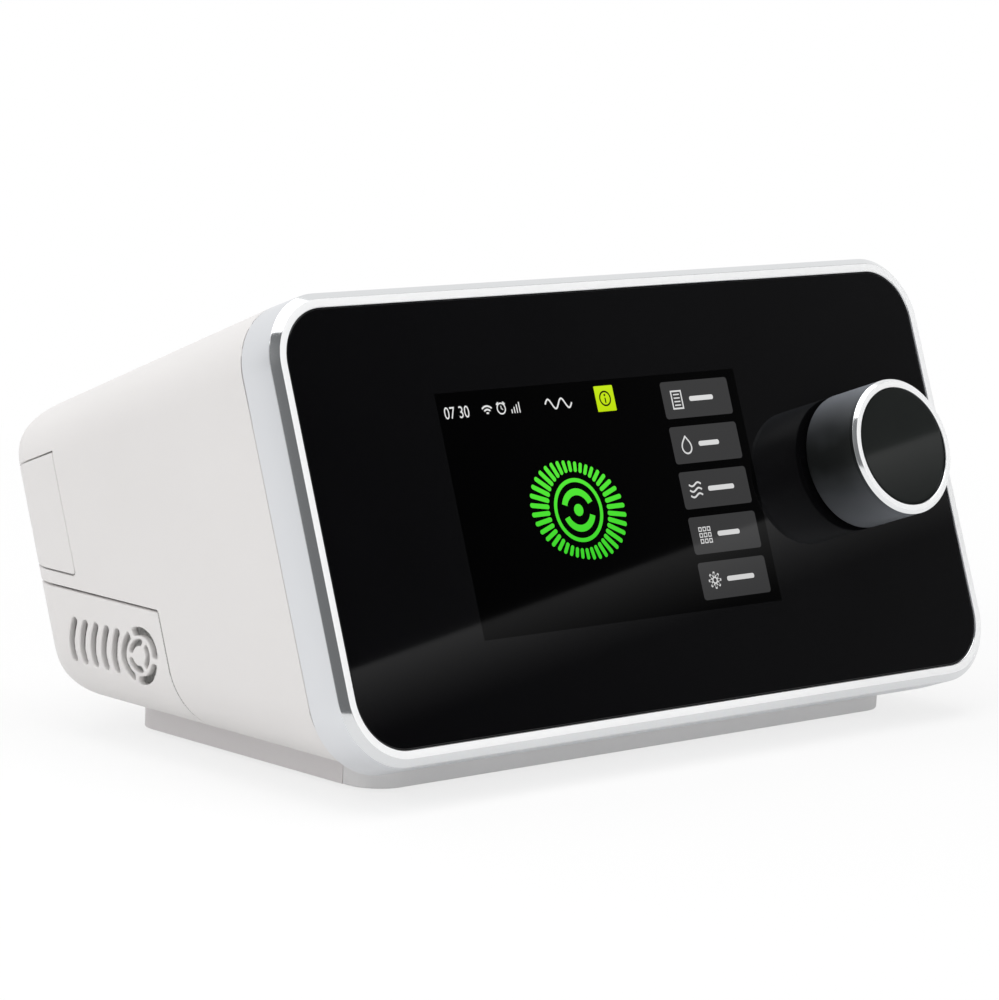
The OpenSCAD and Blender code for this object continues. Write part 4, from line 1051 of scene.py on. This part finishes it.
@dataclass
class Screen:
    """The lit picture behind the glass: a status row, a breathing gauge and five menu tiles."""

    left: float = -63.5
    right: float = 37.2
    low: float = 22.5
    high: float = 82.1
    tile_x: float = 22.35
    tile_w: float = 23.5
    tile_h: float = 9.4
    tile_top: float = 80.15
    tile_step: float = 11.45
    gauge_x: float = -25.1
    gauge_b: float = 50.8
    gauge_r: float = 15.6
    bars: int = 40
    bar_start: float = 9.4
    bar_low: float = 2.6
    bar_swell: float = 3.6
    sign_in: float = 4.9
    line_in: float = -2.6
    line_widths: tuple[float, ...] = (8.4, 7.2, 9.2, 7.8, 9.6)
    row_b: float = 77.2
    clock_x: float = -61.6
    signal_x: float = -47.9
    alarm_x: float = -43.3
    level_x: float = -40.0
    wave_x: float = -24.5
    notice_x: float = -8.75

    def build(self) -> None:
        """Builds the layers, each a little nearer the front than the one it lies on."""
        panel = Art()
        panel.box((self.left + self.right) / 2, (self.low + self.high) / 2,
                  self.right - self.left, self.high - self.low, 0.05)
        panel.build("screen_panel", 0.010, PANEL)
        self.tiles()
        self.gauge()
        self.status()

    def tiles(self) -> None:
        """Five grey tiles, each with its sign and a plain bar."""
        grey, white = Art(), Art()
        signs = (self.sheet_sign, self.drop_sign, self.wave_sign, self.grid_sign, self.gear_sign)
        for k, (sign, width) in enumerate(zip(signs, self.line_widths)):
            b = self.tile_top - self.tile_h / 2 - k * self.tile_step
            grey.box(self.tile_x, b, self.tile_w, self.tile_h, 0.9)
            white.box(self.tile_x + self.line_in + width / 2, b, width, 1.25, 0.6)
            sign(white, self.tile_x - self.tile_w / 2 + self.sign_in, b)
        grey.build("menu_tiles", 0.020, lit(
            "tile_grey", (0.035, 0.035, 0.036), (0.042, 0.042, 0.043), self.low, self.high))
        white.build("menu_signs", 0.030, lit(
            "sign_white", (0.62, 0.62, 0.62), (0.72, 0.72, 0.72), self.low, self.high))

    def sheet_sign(self, art: Art, x: float, b: float) -> None:
        """A sheet with four lines."""
        art.line([(x - 1.7, b - 2.2), (x + 1.7, b - 2.2), (x + 1.7, b + 2.2), (x - 1.7, b + 2.2)],
                 0.4, closed=True)
        for k in range(4):
            art.box(x, b + 1.35 - 0.9 * k, 2.1, 0.32, 0.1)

    def drop_sign(self, art: Art, x: float, b: float) -> None:
        """A drop: its outline is a circle whose upper half runs up to a point."""
        t = full_turn(40)
        px = 1.6 * np.cos(t) * np.where(np.sin(t) > 0, 1 - 0.93 * np.sin(t) ** 2 * 0.9, 1)
        pb = 1.6 * np.sin(t) * np.where(np.sin(t) > 0, 1.7, 1) - 0.6
        art.line(np.stack([x + px, b + pb], 1).tolist(), 0.42, closed=True)

    def wave_sign(self, art: Art, x: float, b: float) -> None:
        """Three rows of a slow wave."""
        t = np.linspace(-1, 1, 24)
        for k in range(3):
            height = b + 1.4 - 1.4 * k + 0.45 * np.sin(math.pi * t)
            art.line(np.stack([x + 2.1 * t, height], 1).tolist(), 0.45)

    def grid_sign(self, art: Art, x: float, b: float) -> None:
        """Nine small boxes in a square."""
        for k in range(9):
            art.line([(x + 1.5 * (k % 3 - 1) + dx, b + 1.5 * (k // 3 - 1) + db)
                      for dx, db in ((-0.45, -0.45), (0.45, -0.45), (0.45, 0.45), (-0.45, 0.45))],
                     0.26, closed=True)

    def gear_sign(self, art: Art, x: float, b: float) -> None:
        """A wheel whose rim goes out at eight teeth, with a ring in its middle."""
        t = full_turn(96)
        r = 1.75 + 0.42 * np.clip(3.0 * np.cos(8 * t), -1, 1)[:, None]
        mid, way = np.array([x, b]), unit(t)
        art.band(mid + (r - 0.42) * way, mid + r * way, closed=True)
        art.arc(x, b, 0.75, 0.38)

    def gauge(self) -> None:
        """A ring of bars whose length swells twice round the ring, as a breath does."""
        art = Art()
        middle = np.array([self.gauge_x, self.gauge_b])
        across, over = unit(full_turn(16)).T
        for t in full_turn(self.bars):
            length = self.bar_low + self.bar_swell * (0.5 + 0.5 * math.cos(2 * t + 0.5))
            way, side = unit(t), unit(t + math.pi / 2)
            mid = middle + way * (self.bar_start + length / 2)
            end = 0.62 * (0.75 + 0.25 * length / (self.bar_low + self.bar_swell))
            along = np.sign(across) * (length / 2 - end) + end * across
            art.polygon(mid + np.outer(along, way) + np.outer(end * over, side))
        art.arc(*middle, 7.4, 1.0, n=72)
        art.arc(*middle, 4.5, 1.7, 20, 160)
        art.arc(*middle, 4.5, 1.7, 200, 340)
        art.disc(*middle, 1.5)
        low, high = self.gauge_b - self.gauge_r, self.gauge_b + self.gauge_r
        art.build("breath_gauge", 0.030, lit(
            "gauge_green", (0.035, 0.62, 0.02), (0.10, 0.86, 0.04), low, high))

    def status(self) -> None:
        """The clock's numerals, three small signs, a wave and the yellow tile with its ring."""
        white, lime, dark = Art(), Art(), Art()
        b, alarm, notice = self.row_b, self.alarm_x, self.notice_x
        digits(white, "07 30", self.clock_x, b - 1.45, 2.9)
        for r in (0.5, 1.35, 2.2):
            white.arc(self.signal_x, b - 1.3, r, 0.42, 45, 135, n=12)
        white.arc(alarm, b, 1.3, 0.34, n=28)
        white.line([(alarm, b + 0.7), (alarm, b), (alarm + 0.5, b - 0.3)], 0.25)
        white.line([(alarm - 1.4, b + 1.0), (alarm - 0.7, b + 1.6)], 0.34)
        white.line([(alarm + 0.7, b + 1.6), (alarm + 1.4, b + 1.0)], 0.34)
        for k in range(4):
            height = 1.0 + 0.55 * k
            white.box(self.level_x + 0.85 * k, b - 1.4 + height / 2, 0.32, height, 0.1)
        t = np.linspace(-1, 1, 40)
        wave = np.stack([self.wave_x + 4.4 * t, b + 1.2 * np.sin(2 * math.pi * t)], 1)
        white.line(wave.tolist(), 0.42)
        lime.box(notice, b + 0.2, 6.3, 6.4, 0.25)
        dark.arc(notice, b + 0.2, 1.75, 0.42, n=36)
        dark.disc(notice, b + 1.05, 0.3)
        dark.box(notice, b - 0.25, 0.4, 1.35, 0.1)
        for art, name, height, tone, low, high in (
                (white, "status_signs", 0.030, "status_white", (0.74,) * 3, (0.78,) * 3),
                (lime, "notice_tile", 0.020, "notice_lime", (0.50, 0.72, 0.0), (0.56, 0.80, 0.01)),
                (dark, "notice_sign", 0.030, "notice_dark", *[(0.01, 0.015, 0.0)] * 2)):
            art.build(name, height, lit(tone, low, high, b - 4, b + 4))


# Knob


@dataclass
class Knob:
    """The turn and press knob: a dark skirt, a bright ring with two facets and a black cap."""

    x: float = 72.2
    b: float = 55.2
    radius: float = 17.5
    height: float = 19.5
    gap: float = 1.8
    ring_h: float = 2.2
    bevel: float = 0.8
    lip_low: float = 0.15
    wall: float = 1.6
    cap_r: float = 15.1
    cap_low: float = 0.4
    face_tilt: float = 0.0150
    front_facing: float = 0.85
    side_facing: float = 0.12
    # how far the painted sheen bands are turned about the knob's axis, in degrees
    sheen_turn: float = 5.0
    hub_r: float = 5.0
    hub_up: float = 0.3
    shaft_r: float = 3.0
    play: float = 0.01
    roof: float = 2.0
    turns: int = 160

    def axis(self, x: Array, b: Array, out: Array) -> Array:
        """Places points about the knob's axis, which runs out of the glass."""
        return LEAN.point(self.x + x, -out, self.b + b)

    def build(self) -> None:
        """Turns the skirt, the ring and the cap."""
        base = self.height - self.ring_h
        lip = self.height - self.lip_low
        inner, bore = self.radius - self.wall, self.shaft_r + self.play
        low, under = self.gap + self.hub_up, base - self.roof
        skirt = rounded([
            (self.radius, base - 0.02, 0.04), (self.radius, self.gap, 0.35), (inner, self.gap, 0.2),
            (inner, under, 0.6), (self.hub_r, under, 0.4), (self.hub_r, low, 0.2),
            (bore, low, 0.2), (bore, under + 0.2, 0)], 4)
        # the skirt's finish carries painted sheen, lighter at the top and the bottom; the ring's
        # sides take it too
        wall = self.wall_finish()
        made = revolve("knob_wall", skirt, self.axis, self.turns, loop=True)
        dress(smooth(made, 28), wall, Body.KNOB, ["knob_skirt"])
        ring = rounded([
            (self.cap_r + 0.1, base, 0), (self.radius, base, 0.04),
            (self.radius, lip - self.bevel, 0.2), (self.radius - self.bevel, lip, 0.18),
            (self.cap_r + 0.1, lip, 0.25)], 5)
        made = revolve("knob_collar", ring, self.axis, self.turns, loop=True)
        dress(smooth(made, 28), BRIGHT, Body.KNOB, ["knob_ring"])
        facing = facing_out(made)
        kinds = np.where(facing > self.front_facing, 1, np.where(facing < self.side_facing, 2, 0))
        paint_faces(made, kinds, RIM, wall)
        top = self.height - self.cap_low
        r = self.cap_r
        cap = [(0.0, top), (r * 0.5, top), (r - 0.75, top), (r - 0.55, top),
               (r - 0.2, top - 0.1), (r, top - 0.4), (r, base), (0.0, base)]
        made = revolve("knob_face", cap, self.tilted_axis, self.turns)
        dress(smooth(made, 28, weighted=True), CAP, Body.KNOB, ["knob_cap"])

    def tilted_axis(self, x: Array, b: Array, out: Array) -> Array:
        """As the axis, with the face leaning back very slightly: out grows with b."""
        return self.axis(x, b, out + self.face_tilt * b)

    def wall_finish(self) -> TurnedWithPaintedSheen:
        """The skirt's finish, with its painted sheen turned about the knob's axis."""
        turn = math.radians(self.sheen_turn)
        _, y, z = LEAN.front
        across = (math.sin(turn), math.cos(turn) * z, -math.cos(turn) * y)
        return TurnedWithPaintedSheen("knob_grey", (0.0085, 0.0095, 0.0095), (0.262, 0.278, 0.308),
                      tuple(LEAN.point(self.x, 0, self.b) / MM), LEAN.front, across, self.radius)


# Base, back and inside


@dataclass
class Carried:
    """CAD pieces whose shape is right: each is carried over with its finish."""

    ease_steps: int = 3
    ease_angle: float = math.radians(40)
    eased: dict[str, tuple[Finish, Body, str, float]] = field(default_factory=lambda: {
        # the base shell takes the casing plastic painted lighter against the shade under the casing
        "base_shell": (BASE_PAINTED_LIGHT, Body.MACHINE, "casing_white", 0.35),
        "foot_front_strip": (STRIP, Body.MACHINE, "strip_grey", 0.35),
        "air_outlet": (WHITE_PART, Body.MACHINE, "inner_plastic", 0.4),
        "power_button": (DARK, Body.POWER_BUTTON, "black_plastic", 0.3),
        "rubber_feet": (RUBBER, Body.MACHINE, "rubber", 0.2),
        "dc_inlet": (BLACK, Body.MACHINE, "black_plastic", 0.15),
        "rating_plate": (PLATE, Body.MACHINE, "plate", 0.05),
    })
    plain: tuple[tuple[Finish, str], ...] = (
        (TAPE, "glass_tape"), (BRASS, "encoder_nut"), (FLEECE, "intake_filter"),
        (FILM, "screen_cable"), (FOAM, "silencer_foam"), (COPPER, "motor_stator"),
        (SILICONE, "blower_mounts"), (DARK, "blower_wheel flow_sensor"),
        (BLACK, "screen_module front_chassis card_socket speaker power_switch"),
        (STEEL, "encoder_body encoder_shaft door_hinge_pin usb_socket coin_cell board_screws "
                "chassis_screws motor_rotor blower_shaft blower_bearings base_screws"),
        (INNER, "encoder_plunger air_box_tray air_box_lid blower_lower_case blower_upper_case"),
        (BOARD_GREEN, "knob_board port_board main_board power_board"),
        (RUBBER, "intake_grommet outlet_sleeve outlet_seal"),
    )

    def build(self) -> None:
        """Eases the edges of the pieces that show and paints the others."""
        for node, (finish, body, slot, width) in self.eased.items():
            made = merged_copy(f"{node}_eased", node)
            ease = made.modifiers.new("ease", "BEVEL")
            ease.width, ease.segments = width * MM, self.ease_steps
            ease.limit_method, ease.angle_limit = "ANGLE", self.ease_angle
            smooth(made, 35, weighted=True)
            dress(made, finish, body, [node])
        for finish, nodes in self.plain:
            for node in nodes.split():
                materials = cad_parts[node].data.materials
                if not materials:
                    materials.append(None)
                for k in range(len(materials)):
                    materials[k] = finish.material()


# Studio


@dataclass
class Studio:
    """Camera, pale floor, soft light and the cards that show in the glass."""

    eye: Colour = (-757.4, -813.15, 231.8)
    yaw: float = math.radians(42.99)
    pitch: float = math.radians(9.06)
    roll: float = math.radians(2.17)
    lens: float = 159.345
    sensor: float = 36.0
    floor_half: float = 6.0
    fleck_mm: float = 60.0
    paper: tuple[Colour, Colour] = ((0.88, 0.88, 0.88), (0.90, 0.90, 0.90))
    shade_near: float = 0.16
    shade_over: float = 0.34
    seen_near: float = 0.75
    mirrored_near: float = 0.45
    soft_light: float = 0.53
    card_away: float = 620.0
    card_half: float = 0.60
    card_deep: float = 0.34
    edge_marks: tuple[tuple[float, float], tuple[float, float]] = ((0.001, 0.191), (0.670, 0.410))
    edge_light: float = 0.50
    fade: float = 0.028
    tint: float = 0.09
    tint_from: float = 0.12
    tint_over: float = 0.24

    def camera(self) -> None:
        """Stands the camera where the photograph was taken from."""
        c, s = math.cos(self.yaw), math.sin(self.yaw)
        level = math.cos(self.pitch)
        ahead = Vector((s * level, c * level, -math.sin(self.pitch)))
        aside = Vector((c, -s, 0))
        above = aside.cross(ahead)
        right = aside * math.cos(self.roll) + above * math.sin(self.roll)
        up = above * math.cos(self.roll) - aside * math.sin(self.roll)
        data = bpy.data.cameras.new("camera")
        data.lens, data.sensor_width, data.sensor_fit = self.lens, self.sensor, "AUTO"
        data.clip_start, data.clip_end = 0.05, 20.0
        made = linked("camera", data)
        turn = Matrix((right, up, -ahead)).transposed().to_4x4()
        made.matrix_world = Matrix.Translation(Vector(self.eye) * MM) @ turn
        bpy.context.scene.camera = made

    def floor(self) -> None:
        """A wide floor, almost all white where it is seen, more so away from the machine."""
        corners = np.array([(-1, -1, 0), (1, -1, 0), (1, 1, 0), (-1, 1, 0)]) * self.floor_half
        made = place_mesh("floor", corners, [range(4)], closed=False)
        material, board = new_material("floor_white")
        colour = board.blend(board.noise(self.fleck_mm), *self.paper)
        paper = board.node("ShaderNodeBsdfDiffuse", {"Color": colour})
        away = board.node("ShaderNodeVectorMath", {0: board.place()}, operation="LENGTH")
        far = ((board.out(away, "Value") - self.shade_near) / self.shade_over).clamped()
        seen = board.rays("Camera", "Transmission") * (far * (1 - self.seen_near) + self.seen_near)
        mirrored = board.rays("Glossy") * (far * (1 - self.mirrored_near) + self.mirrored_near)
        board.close(board.mixed((seen + mirrored).clamped(), paper, board.glow((1, 1, 1))))
        made.data.materials.append(material)

    def world(self) -> None:
        """A white surround that lights softly."""
        made = bpy.data.worlds.new("studio")
        made.use_nodes = True
        bpy.context.scene.world = made
        board = Board(made.node_tree)
        soft, white = (board.node("ShaderNodeBackground", {
            "Color": (1, 1, 1, 1), "Strength": light}) for light in (self.soft_light, 1.0))
        seen = board.rays("Camera", "Glossy", "Transmission")
        board.close(board.mixed(seen, soft, white), "World")

    def lamp(self, name: str, place: Colour, aim: Colour, size: float, power: float) -> None:
        """A soft square lamp.

        Args:
            name: its name.
            place: where it stands, in metres.
            aim: the point it faces.
            size: its width and height in metres.
            power: its power in watts.
        """
        data = bpy.data.lights.new(name, "AREA")
        data.shape, data.size, data.size_y, data.energy = "RECTANGLE", size, size, power
        made = linked(name, data)
        made.location = place
        made.rotation_mode = "QUATERNION"
        made.rotation_quaternion = (Vector(aim) - Vector(place)).to_track_quat("-Z", "Y")

    def stand(self, middle: Vector, facing: Vector) -> Matrix:
        """Where a card stands, from its middle and the way that it faces."""
        return Matrix.Translation(middle) @ facing.to_track_quat("Z", "Y").to_matrix().to_4x4()

    def card(self, name: str, middle: Vector, facing: Vector, corners: Array,
             draw: Callable[[Board], bpy.types.Node]) -> None:
        """A card that only shows in glossy surfaces.

        Args:
            name: its name.
            middle: its middle, in metres.
            facing: the way that it faces.
            corners: its outline in its own plane, in metres.
            draw: makes its shader.
        """
        flat = np.concatenate([corners, np.zeros((len(corners), 1))], 1)
        made = place_mesh(name, flat, [range(len(corners))], closed=False)
        made.matrix_world = self.stand(middle, facing)
        material, board = new_material(name)
        board.close(draw(board))
        made.data.materials.append(material)
        made.visible_camera = made.visible_diffuse = made.visible_shadow = False
        made.visible_transmission = made.visible_volume_scatter = False

    def glass_cards(self) -> None:
        """The dark card that the glass mirrors, with a grey part below a slanting edge."""
        normal = Vector(LEAN.front)
        eye = Vector(self.eye) * MM
        on_glass = Vector(LEAN.point(0, 0, PANE.middle_b))
        image = eye - 2 * (eye - on_glass).dot(normal) * normal
        way = (on_glass - image).normalized()
        middle = on_glass + way * self.card_away * MM
        home = self.stand(middle, -way).inverted()

        def seen_at(u: float, v: float) -> Vector:
            """The card's own point that a place on the glass mirrors."""
            ray = Vector(LEAN.point((u - 0.5) * PANE.width, 0, v * PANE.height)) - image
            far = image + ray * ((middle - image).dot(way) / ray.dot(way))
            return home @ far

        first, last = (seen_at(*mark) for mark in self.edge_marks)
        slope = (last.y - first.y) / (last.x - first.x)
        start = first.y - slope * first.x
        log.info("card edge: slope %.3f, height %.3f", slope, start)
        side = 1.0 if last.x > first.x else -1.0
        left, right = -self.card_half, self.card_half
        edge = [(across, start + slope * across) for across in (left, right)]
        dark = np.array([*edge, (right, self.card_half), (left, self.card_half)])
        grey = np.array([(left, -self.card_deep), (right, -self.card_deep), *edge[::-1]])

        def draw(board: Board, light: float) -> bpy.types.Node:
            """Light that fades below the edge, and faint light that grows to the knob's side."""
            split = board.node("ShaderNodeSeparateXYZ", {0: board.place()})
            across, up = board.out(split, 0), board.out(split, 1)
            near = (1.0 - (across * slope + start - up) / self.fade).clamped()
            faint = ((across * side + self.tint_from) / self.tint_over).clamped() * self.tint
            glow = (near * near * 0.6 + near * 0.4) * light + faint
            return board.glow(board.blend(glow, (0, 0, 0), (1, 1, 1)))

        self.card("dark_card", middle, -way, dark, partial(draw, light=0.0))
        self.card("grey_card", middle, -way, grey, partial(draw, light=self.edge_light))

    def plain_cards(self) -> None:
        """Two grey cards that the metal and the casing mirror: one in front and one to the left."""
        for name, middle, facing, low, high, tone in (
                ("rear_card", (-0.95, -0.86, 0.50), (0.95, 0.86, -0.50),
                 (-0.75, -0.42), (0.75, 1.30), (0.20, 0.204, 0.208)),
                ("side_card", (-1.30, 0.45, 0.45), (1.0, 0.0, 0.0),
                 (-1.10, -0.45), (0.80, 0.75), (0.45, 0.455, 0.46))):
            corners = np.array([low, (high[0], low[1]), high, (low[0], high[1])])
            draw = partial(Board.glow, colour=tone)
            self.card(name, Vector(middle), Vector(facing), corners, draw)

    def build(self) -> None:
        """Sets up the whole studio."""
        self.camera()
        self.floor()
        self.world()
        self.glass_cards()
        self.plain_cards()
        self.lamp("top_lamp", (-0.1, 0.1, 1.6), (0, 0, 0.05), 1.6, 15.0)
        self.lamp("key_lamp", (-1.5, -0.4, 1.1), (0, 0, 0.06), 0.9, 8.4)
        self.lamp("fill_lamp", (0.9, -1.6, 0.8), (0, 0, 0.06), 0.8, 4.0)
        bpy.context.scene.view_settings.view_transform = "Standard"


def main() -> None:
    """Builds every sub-assembly in order."""
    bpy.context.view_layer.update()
    Studio().build()
    Carried().build()
    FrontFrame().build()
    FrontGlass().build()
    Screen().build()
    Knob().build()
    Casing().build()


if __name__ == "__main__":
    main()
